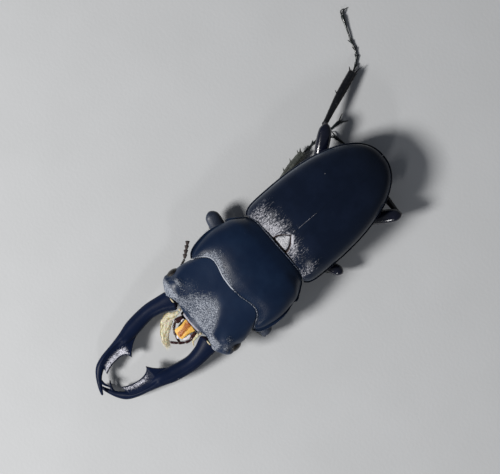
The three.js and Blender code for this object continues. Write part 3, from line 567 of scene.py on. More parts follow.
def wing_case(side):
    """A wing case as a shell: each ring runs from the seam out over the dome, through a gutter to the beaded
    rim, down the folded edge under it, and back inside. The front rows round off the shell's lip."""
    y, half, normal = wing_outline()
    lip = np.linspace(math.radians(80), math.radians(15), 6)
    pinch = np.concatenate([1 - np.cos(lip), np.zeros(len(y))])[:, None]
    ahead = np.concatenate([-0.12 * np.sin(lip), np.zeros(len(y))])[:, None]
    y, half = (np.concatenate([np.full(len(lip), line[0]), line])[:, None] for line in (y, half))
    normal = np.concatenate([np.repeat(normal[:1], len(lip), axis=0), normal])
    top = wing_top(y)
    room = np.clip((SHIELD["tip"] - y) / (SHIELD["tip"] - SHIELD["front"]), 0, 1)
    start = np.minimum(SEAM + (SHIELD["half"] + 0.28 + 0.06 * side) * (1 - (1 - room) ** 1.8), 0.6 * half)

    near = np.array([0, 0.02, 0.05, 0.1, 0.17, 0.26, 0.36]) * np.minimum(1, half)
    first = (start + near) / half
    wide = np.sin(np.linspace(0, math.pi / 2, 80)[1:])
    v = np.concatenate([first, first[:, -1:] + (1 - first[:, -1:]) * wide], axis=1)
    shoulder = lambda v: -0.8 * smooth(v, 0.72, 1) * (1 - smooth(y, WING["front"], 3))
    x, from_seam = half * v, half * v - start
    fade = smooth(y, 1.5, 6) * (1 - smooth(y, 17, 24))
    relief = 0.03 * bell(from_seam, 0.13, 0.07) - 0.04 * np.exp(-from_seam / 0.03)
    relief = relief * (1 - smooth(y, 8, 11))
    for line in (0.2, 0.36, 0.51, 0.65, 0.78):
        relief = relief - 0.014 * bell(v, line, 0.011) * fade
    relief = relief + 0.45 * bell(x, 7.2, 1.0) * bell(y, 1.4, 1.6)
    relief = relief - 0.15 * bell(x, 5.4, 0.9) * bell(y, 0.8, 1.2)
    relief = relief + 0.05 * bell(y, -0.6, 0.1) - 0.05 * bell(y, -0.35, 0.1)
    depth = 0.12 * pinch
    outer = np.stack([
        (half - depth) * v,
        y + ahead + shoulder(v),
        WING["rim"] + (top - depth - WING["rim"]) * quarter(v, 3, 3) + relief * (1 - pinch),
    ], axis=-1)

    # the rim: how far out of the dome's edge and how far above it, once round the folded edge
    out = through(
        (0, 0), (1, 0.06), (2, 0.13), (3, 0.2), (4, 0.27), (5, 0.3), (6, 0.24), (7, 0.06), (8, -0.3),
        (9, -0.85), (10, -1),
    )
    rise = through(
        (0, 0), (1, -0.04), (2, 0.02), (3, 0.09), (4, 0.05), (5, -0.1), (6, -0.4), (7, -0.9), (8, -1.1),
        (9, -0.8), (10, -0.3),
    )
    q = np.linspace(0, 10, 50)[1:]
    small = 1 - 0.35 * pinch
    share = np.clip(half / 3, 0.12, 1)
    reach = np.where(out(q) < 0, out(q) * share, out(q)) * small
    drop = np.where(rise(q) < -0.1, -0.1 + (rise(q) + 0.1) * np.clip(share, 0.45, 1), rise(q)) * small
    edge = np.stack([
        half + normal[:, :1] * reach,
        y + ahead + shoulder(np.ones_like(y)) + normal[:, 1:] * reach,
        WING["rim"] + drop,
    ], axis=-1)

    wall = np.minimum(WING["wall"], np.minimum(0.45 * half, 0.6 * (top - WING["rim"]) + 0.04)) - depth
    back = np.concatenate([np.linspace(0.97, 0.1, 24), [0]])
    u = start / half + (1 - start / half) * back
    inner = np.stack([
        (half - wall) * u,
        y + ahead + shoulder(u),
        WING["rim"] - 0.1 + (top - wall - WING["rim"]) * quarter(u, 3, 3),
    ], axis=-1)
    grid = np.concatenate([outer, edge, inner], axis=1) * [side, 1, 1]
    # Painted highlight: the grain value paints pale granules over the base of each wing case, a thin line
    # along the right one's seam and a patch near the shield on each.
    wavy = y + shoulder(v) + 0.3 * np.sin(2.3 * x + side) + 0.15 * np.sin(5.1 * x + 1)
    painted_highlight, fades = (PAINTED_HIGHLIGHT_LEFT, 3.6) if side > 0 else (PAINTED_HIGHLIGHT_RIGHT, 4.6)
    base = painted_highlight(x) * (1 - smooth(wavy, 0.2, fades))
    line = 0.9 * bell(from_seam, 0.05, 0.05) * smooth(y, 3, 4.5) * (1 - smooth(y, 8, 10)) * (side < 0)
    corner = 2.1 * bell(from_seam, 0.45, 0.55) * bell(y, 1.6, 0.8) * (side > 0)
    corner = corner + 0.6 * bell(x, 2.4, 1.2) * bell(y, 0.5, 0.8) * (side < 0)
    grain, rim = np.zeros(grid.shape[:2]), np.zeros(grid.shape[:2])
    dome = v.shape[1]
    grain[:, :dome] = np.maximum(base, line + corner)
    rim[:, dome : dome + 30] = 0.3
    rim[:, :dome] = 1.5 * (1 - smooth(from_seam, 0.06, 0.2)) * (1 - smooth(y, 1.9, 2.2))
    return ringed(grid, flat_ends=True, grain=grain, edge=rim)


for word, side in SIDES:
    piece(f"wing_case_{word}", [wing_case(side)], WING_FINISH, "wing_case", f"elytron_{word}")


def scutellum():
    """A small three-sided shield: across each row the top is a flat parabola with a turned-down edge."""
    t = np.linspace(0, 1, 30)[:, None]
    a = np.linspace(0, 2 * math.pi, 40, endpoint=False)[None]
    y = SHIELD["front"] + 0.02 + (SHIELD["tip"] - 0.1 - SHIELD["front"]) * t
    half = SHIELD["half"] * (1 - t**1.8) + 0.07
    across = np.sign(np.cos(a)) * np.abs(np.cos(a)) ** 0.55
    rise = np.sign(np.sin(a)) * np.abs(np.sin(a)) ** 0.8
    crown = 0.12 * (1 - across**2) - 0.08 * bell(np.abs(across), 0.84, 0.1) * (rise > 0)
    crown = crown - 0.1 * bell(t, 0, 0.08)
    z = wing_top(y) - 0.28 + 0.26 * rise + crown * (rise > 0)
    # Painted highlight: pale granules cover the shield's top but its edge and tip.
    granules_and_painted_highlight = 1.2 * (1 - smooth(np.abs(across), 0.85, 1)) * (1 - smooth(t, 0.9, 1)) + 0 * z
    return ringed(np.stack(np.broadcast_arrays(half * across, y, z), axis=-1), grain=granules_and_painted_highlight)


piece("scutellum_shield", [scutellum()], SHIELD_FINISH, "wing_case", "scutellum")


# ---- Body under the wing cases --------------------------------------------------------------------
COXA_TURN = {"front": 0.18, "middle": 0.3, "hind": 0.1}  # how far each hip is turned, in radians
SOCKET_ROOM = 0.35  # between a hip and the edge of its socket
FLANK = 6.0  # height of the widest line round the body


def around_hips(x, y):
    """1 in the sockets of the hips, 0 outside them: exp(-r^6), with r the elliptic distance from a hip's
    middle."""
    found = np.zeros(np.broadcast(x, y).shape)
    for pair, turn in COXA_TURN.items():
        (cx, cy, _), (rx, ry, _) = spot(f"coxa_{pair}_left")
        c, s = math.cos(turn), math.sin(turn)
        dx, dy = np.abs(x) - cx, y - cy
        along, across = (dx * c + dy * s) / (rx + SOCKET_ROOM), (dy * c - dx * s) / (ry + SOCKET_ROOM)
        reach = along**2 + across**2
        found = np.maximum(found, np.exp(-(reach**3)))
    return found


def trunk(y, belly, relief, pinch):
    """A length of the body: a low vault above the flanks, and below them belly + (flank - belly) |v|^2.2."""
    y = y[:, None]
    half = np.maximum(wing_half(y) - 0.95, 0.3)
    top = np.maximum(wing_top(y) - 1.2, WING["rim"] + 0.15)
    a = np.linspace(0, 2 * math.pi, 176, endpoint=False)[None]
    v = np.cos(a)
    keel = np.abs(v) ** 2.2
    under = belly(y) + (FLANK - belly(y)) * keel
    under = under + relief(half * v, y, v) * (1 - np.abs(v) ** 8)
    over = FLANK + (top - FLANK) * quarter(np.abs(v), 2.5, 2)
    z = np.where(np.sin(a) < 0, under, over)
    middle = (belly(y) + top) / 2
    pinch = pinch[:, None]
    return np.stack([half * v * (1 - pinch), np.broadcast_to(y, z.shape), mix(z, middle, pinch)], axis=-1)


def chest(y):
    """Height of the chest's keel: it hangs lowest in its middle."""
    return 2.8 + 0.5 * (1 - smooth(y, -0.7, 3)) + 0.7 * smooth(y, 7.5, 10.2)


def chest_relief(x, y, v):
    """Sockets round the hips, a groove along the midline, slanting seams to the side plates and a seam
    across."""
    a = np.abs(x)
    seam = bell(a, 6.7 + 0.06 * (y - 4), 0.1) * smooth(y, -0.6, 0.4)
    middle = bell(x, 0, 0.12) * smooth(y, 2.5, 4) * (1 - smooth(y, 8.6, 9.4))
    cross = bell(y, 7.9 + 0.12 * a, 0.1) * smooth(a, 0.6, 1.4) * (1 - smooth(a, 5.6, 6.4))
    return 0.55 * around_hips(x, y) + 0.14 * seam + 0.16 * middle + 0.08 * cross


BELT = [10.25, 13.3, 16.1, 18.7, 21.2, 24.5]  # the joints between the belly plates


def belly(y):
    """Height of the belly's middle: it rises to the tail."""
    return 3.9 - 0.5 * (1 - smooth(y, 10, 14)) + 1.5 * smooth(y, 15, 25)


def belly_relief(x, y, v):
    """Each plate swells to its hind edge, which steps down over the next, and is dented near the flanks."""
    k = np.clip(np.searchsorted(BELT, y, side="right") - 1, 0, 4)
    start, end = np.array(BELT)[k], np.array(BELT)[k + 1]
    s = np.clip((y - start) / (end - start), 0, 1)
    dent = bell(np.abs(v), 0.72, 0.1) * bell(s, 0.45, 0.25)
    return 0.5 * around_hips(x, y) - 0.22 * s**1.5 * (1 - smooth(s, 0.965, 1)) + 0.12 * dent


steps = 1 - (1 - np.linspace(0, 0.999, 22)) ** 1.6  # closer together towards each plate's hind edge
near_joints = np.concatenate([mix(start, end, steps) for start, end in zip(BELT, BELT[1:])])
tail = np.linspace(0.1, math.pi / 2 - 0.1, 7)
rear = np.concatenate([near_joints, BELT[-1] + 0.3 * np.sin(tail)])
rear_pinch = np.concatenate([np.zeros(len(near_joints)), 1 - np.cos(tail)])
belly_skin = ringed(trunk(rear, belly, belly_relief, rear_pinch))
piece("belly_plates", [belly_skin], UNDER_FINISH, "underside", "abdomen")
front = np.concatenate([[-0.68, -0.66, -0.6, -0.5], np.linspace(-0.35, 10.05, 110), [10.15, 10.2]])
front_pinch = np.concatenate([[0.2, 0.1, 0.03, 0.005], np.zeros(110), [0.01, 0.05]])
chest_skin = ringed(trunk(front, chest, chest_relief, front_pinch))
piece("chest_plates", [chest_skin], UNDER_FINISH, "underside", "metathorax")


# ---- Prothorax ------------------------------------------------------------------------------------
NECK_Z = 7.0
FLANGE = 0.9  # share of the shield's half width where its dome meets the flat edge
# front margin of the shield by distance from the midline
margin = through(
    (0, -12.95), (2.4, -12.75), (4.8, -12.15), (6.3, -12.15), (7.4, -12.85), (8.25, -14.1), (8.75, -14.9),
    (9.05, -15.15),
)
# half width of the edge, with its tooth before the hind corner, and of the dome inside it
shield_edge = through(
    (0, 9.05), (0.05, 9.85), (0.13, 10.4), (0.27, 10.8), (0.41, 10.9), (0.53, 10.7), (0.64, 10.2),
    (0.69, 10), (0.735, 10.25), (0.76, 10.15), (0.82, 9.65), (0.89, 8.95), (0.95, 8.3), (1, 7.5),
)
shield_dome = through(
    (0, 8.8), (0.1, 9.65), (0.28, 10.25), (0.45, 10.4), (0.65, 10.0), (0.75, 9.7), (0.86, 8.75), (1, 7.25),
)
pronotum_rear = through((0, -1), (0.7, -1), (1, -1.55))
pronotum_top = through(
    (0, 9.75), (0.05, 10), (0.12, 10.35), (0.22, 10.7), (0.35, 10.95), (0.55, 11.1), (0.75, 10.95),
    (0.9, 10.4), (1, 9.85),
)


def shield_x(a, u):
    """Distance from the midline at the share a of the half width: over the dome, then over the flat edge."""
    over = shield_dome(u) * a / FLANGE
    outside = mix(shield_dome(u), shield_edge(u), (a - FLANGE) / (1 - FLANGE))
    return np.where(a < FLANGE, over, outside)


def prothorax():
    """The shield and the plates under it, as rings from the front margin (u = 0) to the hind one (u = 1).
    Across a ring v goes from side to side: a superellipse dome, and outside it a flat edge with a beaded
    rim. The front and hind margins are beads with a groove inside, and both ends are cupped."""
    rows = 140
    u = 0.5 - 0.5 * np.cos(np.linspace(0, math.pi, rows))
    cup = np.linspace(0, 1, 9)[1:]
    u_all = np.concatenate([np.zeros(8), u, np.ones(8)])[:, None]
    sink = np.concatenate([cup[::-1], np.zeros(rows), cup])[:, None]
    way = np.concatenate([np.ones(8), np.zeros(rows), -np.ones(8)])[:, None]
    upper = np.linspace(0, math.pi, 210)
    lower = np.linspace(math.pi, 2 * math.pi, 90)[1:-1]
    v = np.cos(np.concatenate([upper, lower]))[None]
    a = np.abs(v)
    above = np.concatenate([np.ones(210), np.zeros(88)])[None]

    x = np.sign(v) * shield_x(a, u_all)
    before = margin(shield_x(a, np.zeros(1)))
    y = mix(before, pronotum_rear(a), u_all)
    from_front, from_rear = y - before, pronotum_rear(a) - y
    bead = 0.08 * bell(from_front, 0.15, 0.1) - 0.1 * bell(from_front, 0.36, 0.07)
    bead = bead + 0.08 * bell(from_rear, 0.12, 0.09) - 0.1 * bell(from_rear, 0.31, 0.07)
    bead = bead - 0.1 * bell(from_rear, 0, 0.05)
    flat = np.clip((a - FLANGE) / (1 - FLANGE), 0, 1)
    rim = 0.12 * bell(flat, 0.78, 0.16) - 0.1 * bell(flat, 0.3, 0.22) - 0.3 * smooth(flat, 0.86, 1) ** 2
    top = WING["rim"] + 0.4 + (pronotum_top(u_all) - WING["rim"] - 0.4) * quarter(a / FLANGE, 2.5, 1.9)
    crown = top + bead * (1 - flat) + rim * (flat > 0)
    crown = crown - 0.12 * bell(np.abs(x), 6.2, 1.3) * bell(from_rear, 1.7, 0.9)
    swell = np.sin(math.pi * mix(0.1, 0.85, u_all))
    keel_z = mix(4.2, 3.2, swell)
    under = mix(keel_z, 6.2, np.clip((a - 0.22) / 0.78, 0, 1) ** 0.95)
    under = under - 0.35 * bell(a, 0.66, 0.2) + 0.16 * bell(a, 0.9, 0.02)
    under = under + 0.5 * around_hips(x, y)
    under = under - 0.45 * bell(x, 0, 0.55) * smooth(y, -10, -8) * (1 - smooth(y, -6, -4.6))
    under = under + 0.1 * bell(np.abs(x), 4.9 + 0.1 * y, 0.09) * (1 - around_hips(x, y))
    z = np.where(above > 0, crown, under)

    # cupped ends: the rings shrink a little, go in and close over the neck's middle
    shrink = 1 - 0.07 * sink**0.4 - 0.83 * sink**6
    inward = np.where(way > 0, 3.0, 1.5) * sink**1.1
    x, z = x * shrink, mix(NECK_Z, z, shrink)
    y = np.where(way > 0, y + inward, np.where(way < 0, y - inward, y))
    grid = np.stack(np.broadcast_arrays(x, y, z), axis=-1)

    # painted highlight of pale granules: a band behind the front margin, the front bead and the hind one
    reach = through(
        (-9, 0.7), (-8, 1.2), (-6.6, 2.4), (-4, 1.8), (-2, 1.5), (0, 0.8), (1.5, 0.45), (9, 0.35),
    )(x)
    strength = mix(1.0, 0.25, smooth(x, -0.8, 1)) * (1 - smooth(np.abs(x), 7.6, 9))
    lit = (1 - smooth(from_front / reach, 0.1, 1.25)) * strength
    lit = lit + bell(from_front, 0.15, 0.13) * (0.4 + 1.8 * smooth(x, -4.8, -3) * (1 - smooth(x, 0.2, 1)))
    lit = (lit + 0.8 * bell(from_rear, 0.12, 0.08) * (1 - smooth(np.abs(x), 7, 8.5))) * above
    edge = 0.35 * smooth(flat, 0.5, 1) + 0.3 * sink
    return ringed(grid, grain=lit * (sink == 0), edge=np.broadcast_to(edge, z.shape))


piece("pronotum_shield", [prothorax()], PRONOTUM_FINISH, "pronotum_shell", "prothorax")


# ---- Head -----------------------------------------------------------------------------------------
EYE_AT, _ = spot("eye_left")
head_half = through(
    (0, 8.85), (0.23, 9.25), (0.39, 9.5), (0.58, 9.95), (0.77, 9.85), (0.9, 9.2), (0.97, 8.4), (1, 7.9),
)
head_front = through((0, -22.9), (0.3, -22.65), (0.55, -22.3), (0.72, -22.55), (0.88, -23.0), (1, -22.6))


def head_rear(a):
    """The neck edge keeps a joint line to the front margin of the shield."""
    return margin(a * 8.85) - 0.15 - 0.15 * smooth(a, 0.7, 1)


def facet_depth(x, y):
    """How far a point lies ahead of the parabola that bounds the sloping face of the brow."""
    return -16.2 - y - (x + 0.3) ** 2 / 4.6


def brow(x, y):
    """Height of the head above the rim, before its sides turn down: a face that slopes down ahead of a
    parabola, as a softened ramp, a lip that drops along the front margin, a low boss behind each front
    corner and a ridge over each eye."""
    a = np.abs(x)
    facet = 0.42 * 0.5 * np.logaddexp(0, facet_depth(x, y) / 0.5)
    lip = 0.35 * np.maximum(-21 - y, 0) ** 2 * np.exp(-facet / 1.5)
    boss = 0.42 * bell(a, 7.3, 1.05) * bell(y, -20, 1.05)
    along = smooth(-y, 20.2, 20.7) * (1 - smooth(-y, 21.9, 22.4))
    off = a - 9.0 - 0.467 * (-20.5 - y)
    ridge = (0.18 * bell(off, 0, 0.16) - 0.25 * bell(off, -0.4, 0.17)) * along
    dip = 0.14 * bell(a, 5.4, 1.2) * bell(y, -20, 1.3)
    return 2.75 - facet - lip + boss + ridge - dip


def head():
    """Rings from the neck (u = 0) to the front margin (u = 1), drawn in behind to fit the shield's cup and
    turned in at the front to the mouth. Around each eye the side is hollowed into a socket."""
    front_rows = [0.962, 0.974, 0.984, 0.992, 0.997, 1]
    u = np.concatenate([[0, 0.004, 0.012, 0.025], np.linspace(0.04, 0.95, 110), front_rows])
    behind, before = np.linspace(1, 0.1, 9), np.linspace(0.06, 1, 12)
    count = len(u)
    u_all = np.concatenate([np.zeros(9), u, np.ones(12)])[:, None]
    neck = np.concatenate([behind, np.zeros(count + 12)])[:, None]
    mouth = np.concatenate([np.zeros(9 + count), before])[:, None]
    upper, lower = np.linspace(0, math.pi, 200), np.linspace(math.pi, 2 * math.pi, 90)[1:-1]
    v = np.cos(np.concatenate([upper, lower]))[None]
    above = np.concatenate([np.ones(200), np.zeros(88)])[None]
    a = np.abs(v)
    y = mix(head_rear(a), head_front(a), u_all)
    socket = bell(y, EYE_AT[1] + 0.1, 1.35)
    x = v * (head_half(u_all) - 0.5 * socket * smooth(a, 0.75, 1))
    crown = WING["rim"] + 0.4 + brow(x, y) * quarter(a, 3.2, 2)
    crown = crown - 0.75 * bell(np.abs(x), 9.3, 0.75) * bell(y, EYE_AT[1], 1.35)
    gula = 3.8 + 0.5 * np.abs(2 * u_all - 1) ** 3
    under = mix(gula, 6.0, a**2.2)
    seam = bell(np.abs(x), 2.1 - 0.09 * (y + 20), 0.1)
    seam = seam * smooth(u_all, 0.08, 0.14) * (1 - smooth(u_all, 0.6, 0.66))
    under = under + 0.14 * seam + 0.25 * bell(np.abs(x), 5.2, 1.3) * bell(y, -21.2, 1.6)
    under = under + 0.12 * bell(y, -19 + 0.05 * np.abs(x), 0.12) * (1 - smooth(np.abs(x), 3.4, 4))
    z = np.where(above > 0, crown, under)
    shrink = (1 - 0.12 * neck**0.7 - 0.76 * neck**6) * (1 - 0.1 * mouth**0.6 - 0.6 * mouth**3)
    x, z = x * shrink, mix(6.0, z, shrink)
    y = y + 2.2 * neck - 0.12 * np.sin(math.pi * np.clip(mouth * 3, 0, 1)) + 1.6 * mouth**2
    grid = np.stack(np.broadcast_arrays(x, y, z), axis=-1)

    # painted highlight of pale granules: the sloping face, a band behind the front margin and four faint
    # patches
    depth = facet_depth(x, y)
    face = 0.86 * np.where(x < 0, smooth(depth, -1, 1.9), smooth(depth, -0.5, 0.8))
    band = (0.95 - 0.25 * bell(x, 0, 3)) * smooth(-y, 20.9, 21.6) * (1 - smooth(x, 6.8, 7.8))
    margin_dark = 0.9 * smooth(-y, 22, 22.35) * smooth(x, -4, -2.5) * (1 - smooth(x, 3.5, 5))
    faint = 0.2 * bell(x, -4.8, 1.6) * bell(y, -19.4, 1.6) + 1.1 * bell(x, -7.2, 0.9) * bell(y, -19.8, 0.5)
    bright = 0.9 * bell(x, 8.1, 0.5) * bell(y, -21, 0.6) + 0.4 * bell(x, 7.3, 0.6) * bell(y, -19.4, 0.5)
    lit = np.maximum(np.maximum(face, band), faint + bright) * (1 - margin_dark)
    grain = lit * above * (neck == 0) * (mouth < 0.3)
    edge = 0.3 * smooth(mouth, 0.3, 1) + 0.3 * neck
    return ringed(grid, grain=grain, edge=np.broadcast_to(edge, z.shape))


piece("head_capsule", [head()], HEAD_FINISH, "head_shell", "head")
for word, side in SIDES:
    at, radii = spot(f"eye_{word}")
    globe = egg(at - [0.15 * side, 0, 0], radii * [0.9, 1.0, 0.85], rows=40, columns=56)
    piece(f"eye_globe_{word}", [globe], EYE_FINISH, "eye", f"eye_{word}")

# Soft skin closes the joints at the neck and the waist.
neck_line = [(0, -15.4, 6.8), (0, -13, 6.8), (0, -10.5, 6.8)]
neck_skin = limb(neck_line, lambda t: (8.7 + 0 * t, 1.9 + 0 * t), (0.15, 0.15), 72, 24)
waist_line = [(0, -3.2, 7), (0, -1, 7), (0, 0.2, 7)]
waist_skin = limb(waist_line, lambda t: (6.3 + 0 * t, 2.5 + 0 * t), (0.15, 0.15), 64, 24)
piece("neck_skin", [neck_skin], NECK_FINISH, "underside")
piece("waist_skin", [waist_skin], NECK_FINISH, "underside")


# ---- Jaws -----------------------------------------------------------------------------------------
HINGE = np.array([5.25, -23.1, 4.9])
SWING = math.radians(-2.85)  # how far both jaws are turned round their hinges
DROOP = 0.16  # fall of a jaw for each mm forward
# stations of a jaw from its hinge to its tip: forward, outward, half width, half height
SHAFT = [
    (-1.0, -0.3, 1.9, 1.0), (-0.1, 0.1, 2.05, 1.25), (2.2, 0.75, 1.68, 1.42), (5, 1.1, 1.52, 1.45),
    (9, 0.6, 1.55, 1.35), (11.5, 0.05, 1.3, 1.2), (14.5, -0.22, 0.78, 1), (17, -0.75, 0.75, 0.82),
    (18.8, -1.6, 0.8, 0.66), (20.1, -2.85, 0.6, 0.52), (21.2, -4.7, 0.4, 0.38), (21.8, -6.1, 0.2, 0.2),
]


def jaw_place(side, forward, out, rise):
    """Where a point of a jaw lies: beside its hinge, drooping evenly to the front, with the right jaw's tip
    raised over the left one's, and both swung a little round their hinges."""
    crossing = 0.35 * smooth(forward, 9, 18) - 0.45 * np.sin(math.pi * np.clip(forward, 0, 12) / 12)
    crossing = crossing - DROOP * np.maximum(forward, 0)
    crossing = crossing - side * 0.62 * smooth(forward, 13, 20)
    x, y = side * out, -forward
    return np.stack(np.broadcast_arrays(
        side * HINGE[0] + x * math.cos(SWING) - y * math.sin(SWING),
        HINGE[1] + x * math.sin(SWING) + y * math.cos(SWING),
        HINGE[2] + crossing + rise,
    ), axis=-1)


def jaw_shaft(side):
    """An oval section carried along the stations, with a low ridge along its outer side. Between the teeth
    its inner upper quarter is pressed down, so that it runs on level into the blade's shelf."""
    rows = np.array(SHAFT)
    path = route(np.column_stack([rows[:, :2], np.zeros(len(rows))]))
    length = np.concatenate([[0], np.cumsum(np.linalg.norm(np.diff(rows[:, :2], axis=0), axis=1))])
    girth = curve(length / length[-1], rows[:, 2:])
    ends = (0.03, 0.012)
    t = shares(200, ends)
    at = path(t)[:, :2]
    along = unit(path(np.minimum(t + 2e-3, 1)) - path(np.maximum(t - 2e-3, 0)))[:, :2]
    outward = np.stack([-along[:, 1], along[:, 0]], axis=-1)
    width, height = (girth(t) * rounding(t, ends)[:, None]).T[..., None]
    a = np.linspace(0, 2 * math.pi, 64, endpoint=False)[None]
    squared = np.abs(np.cos(a)) ** 0.92 * np.sign(np.cos(a))
    ridge = 1 + 0.05 * bell(np.mod(a, 2 * math.pi), 0.35, 0.2) * smooth(t[:, None], 0.03, 0.2)
    flat = width * squared * ridge
    forward = at[:, :1] + outward[:, :1] * flat
    out = at[:, 1:] + outward[:, 1:] * flat
    between = smooth(forward, 11, 14) * (1 - smooth(forward, 17, 19.2))
    inner = smooth(-np.cos(a), -0.25, 0.35) * (np.sin(a) > 0)
    rise = height * np.sin(a) * np.where(np.sin(a) > 0, 0.94 - 0.42 * inner * between, 1.0)
    base = 1 - smooth(t[:, None] + 0 * a, 0.0, 0.06)
    return ringed(jaw_place(side, forward, out, rise), edge=base * 0.8)


def bend(start, handle, end, steps):
    """Points along a parabola from start to end that heads for the handle first."""
    s = np.linspace(0, 1, steps, endpoint=False)[:, None]
    return (1 - s) ** 2 * np.array(start) + 2 * s * (1 - s) * np.array(handle) + s * s * np.array(end)


def jaw_blade(side):
    """The blade along the inner side: each ring is a wedge between the shaft's core and an edge that runs
    out to a large tooth, hollows, and ends in a second tooth that points to the tip. Its upper face is a
    scooped shelf."""
    tooth = (12.3, -3.75) if side > 0 else (12.85, -3.85)
    edge = np.concatenate([
        bend((7.6, -0.5), (tooth[0] - 1.8, -1.2), tooth, 34),
        bend(tooth, (tooth[0] + 0.3, -2.5), (14.7, -2.42), 22),
        bend((14.7, -2.42), (16.9, -2.45), (18.62, -3.5), 30),
        bend((18.62, -3.5), (18.35, -2.6), (18.5, -1.75), 16),
    ])
    s = np.linspace(0, 1, len(edge))
    root = through((0, 7.6), (0.33, 11.9), (0.55, 14.3), (0.84, 17.6), (1, 18.45))(s)
    shaft = np.array(SHAFT)
    core = curve(shaft[:10, 0], shaft[:10, 1])(root) - 0.1
    b = np.concatenate([np.linspace(0, 1, 30), np.linspace(1, 0, 22)[1:]])[None]
    over = (np.arange(b.shape[1]) < 30)[None]
    forward = mix(root[:, None], edge[:, :1], b)
    out = mix(core[:, None], edge[:, 1:], b)
    thick = 0.16 * np.sqrt(np.clip(1 - b**8, 0, 1))
    scoop = 0.14 * np.sin(math.pi * np.clip(b / 0.88, 0, 1)) - 0.07 * bell(b, 0.92, 0.05)
    upper = mix(0.48, -0.12, b**1.3) - scoop + thick
    under = -0.75 * (1 - b) ** 0.9 - thick - 0.12 - 0.25 * b
    rise = np.where(over, upper, under)
    # Painted highlight: pale granules on the blade's shelf.
    inside = smooth(s, 0.3, 0.42 if side < 0 else 0.55)[:, None] * (1 - smooth(s, 0.82, 0.9))[:, None]
    near_edge = 0.8 * smooth(b, 0.1, 0.75) if side > 0 else 1.2 * smooth(b, 0.1, 0.65)
    shelf = near_edge * inside * (1 - smooth(b, 0.84, 0.93)) * over
    return ringed(jaw_place(side, forward, out, rise), grain=shelf)


def jaw_prong(side):
    """The small tooth before the tip, a bent cone."""
    stations = [(20.3, -2.6, 0), (20.35, -3.6, 0.02), (20.15, -4.7, 0.05), (19.5, -5.8, 0.1)]
    points = [jaw_place(side, *station) for station in stations]
    size = lambda t: (0.4 * (1 - 0.75 * t**1.3), 0.36 * (1 - 0.75 * t**1.3))
    return limb(points, size, (0.1, 0.05), 24, 24)


PUFFS = [  # soft skin bulging out round the left jaw's hinge: middle and radii
    ((5.3, -22.95, 6.3), (0.55, 0.2, 0.3)),
    ((3.0, -23, 6.2), (0.26, 0.3, 0.25)),
    ((7.2, -22.8, 5.9), (0.35, 0.25, 0.3)),
]
for word, side in SIDES:
    parts = [jaw_shaft(side), jaw_blade(side), jaw_prong(side)]
    piece(f"jaw_{word}", parts, JAW_FINISH, "jaw", f"mandible_{word}")
    puffs = [egg((side * x, y, z), radii, rows=14, columns=24) for (x, y, z), radii in PUFFS]
    piece(f"jaw_joint_skin_{word}", puffs, MEMBRANE_FINISH, "lip")


# ---- Mouth ----------------------------------------------------------------------------------------
MOUTH_X = 0.35  # the mouthparts lean a little to the beetle's left
random = np.random.default_rng(7)


def plate(points, size, ends, **values):
    """A thin plate with square sides: its section's corners are drawn out."""
    squared = lambda a, t: (np.abs(np.cos(a)) ** -0.35, np.abs(np.sin(a) + 1e-9) ** -0.1)
    return limb(points, size, ends, 60, 30, shape=squared, **values)


lip_line = [(0.2, -22.3, 5.8), (0.2, -22.9, 5.9), (0.2, -23.25, 5.8)]
lip_size = lambda t: (2.45 - 0.3 * t, 0.3 - 0.08 * t)
lip_plate = plate(lip_line, lip_size, (0.08, 0.16), edge=lambda a, t: 0.5 * bell(np.sin(a), -1, 0.6))
piece("lip_plate", [lip_plate], LIP_FINISH, "lip", "labrum")
chin_line = [(0, -18.6, 3.45), (0, -21, 3.3), (0, -23.75, 3.4)]
chin_plate = plate(chin_line, lambda t: (3.4 - 1.1 * t, 0.34), (0.04, 0.05))
piece("chin_plate", [chin_plate], UNDER_FINISH, "head_shell", "mentum")

tongue_line = [(MOUTH_X + 0.15, -23.3, 4.9), (MOUTH_X + 0.1, -25, 4.85), (MOUTH_X, -26.65, 4.5)]
tongue_size = lambda t: (1.3 - 0.3 * t, 0.32)


def tongue_section(a, t):
    """Waisted half way along, and dented above along two lines."""
    wide = (1 + 0.12 * np.cos(2 * a)) * (1 - 0.14 * bell(t, 0.45, 0.25))
    high = 1 - 0.3 * bell(np.abs(np.cos(a) - 0.3 + 0.5 * t), 0.55, 0.15)
    return wide, high


def tongue_tone(a, t):
    """0 along the yellow middle and 1 along the dark borders and at the tip."""
    return smooth(np.abs(np.cos(a) - 0.35 + 0.6 * t), 0.3, 0.85) + 0.7 * smooth(t, 0.85, 1)


tongue = limb(tongue_line, tongue_size, (0.06, 0.1), 44, 36, shape=tongue_section, edge=tongue_tone)
piece("tongue_lobe", [tongue], TONGUE_FINISH, "tongue", "tongue")
FLAPS = [  # soft lobes beside and under the tongue: path and half width
    ([(-1.15, -23.6, 4.9), (-1.2, -24.05, 5.0), (-1.1, -24.4, 4.9)], 0.16),
    ([(1.85, -24.6, 4.2), (2.0, -25.4, 4.2), (1.7, -26.4, 4.0)], 0.36),
    ([(0.4, -26.5, 4.1), (0.7, -26.8, 4.1), (1.0, -27.0, 4.0)], 0.3),
]
flaps = [limb(line, lambda t: (half * (1 - 0.3 * t), 0.2), (0.2, 0.3), 24, 20) for line, half in FLAPS]
piece("mouth_flaps", flaps, FLAP_FINISH, "lip")

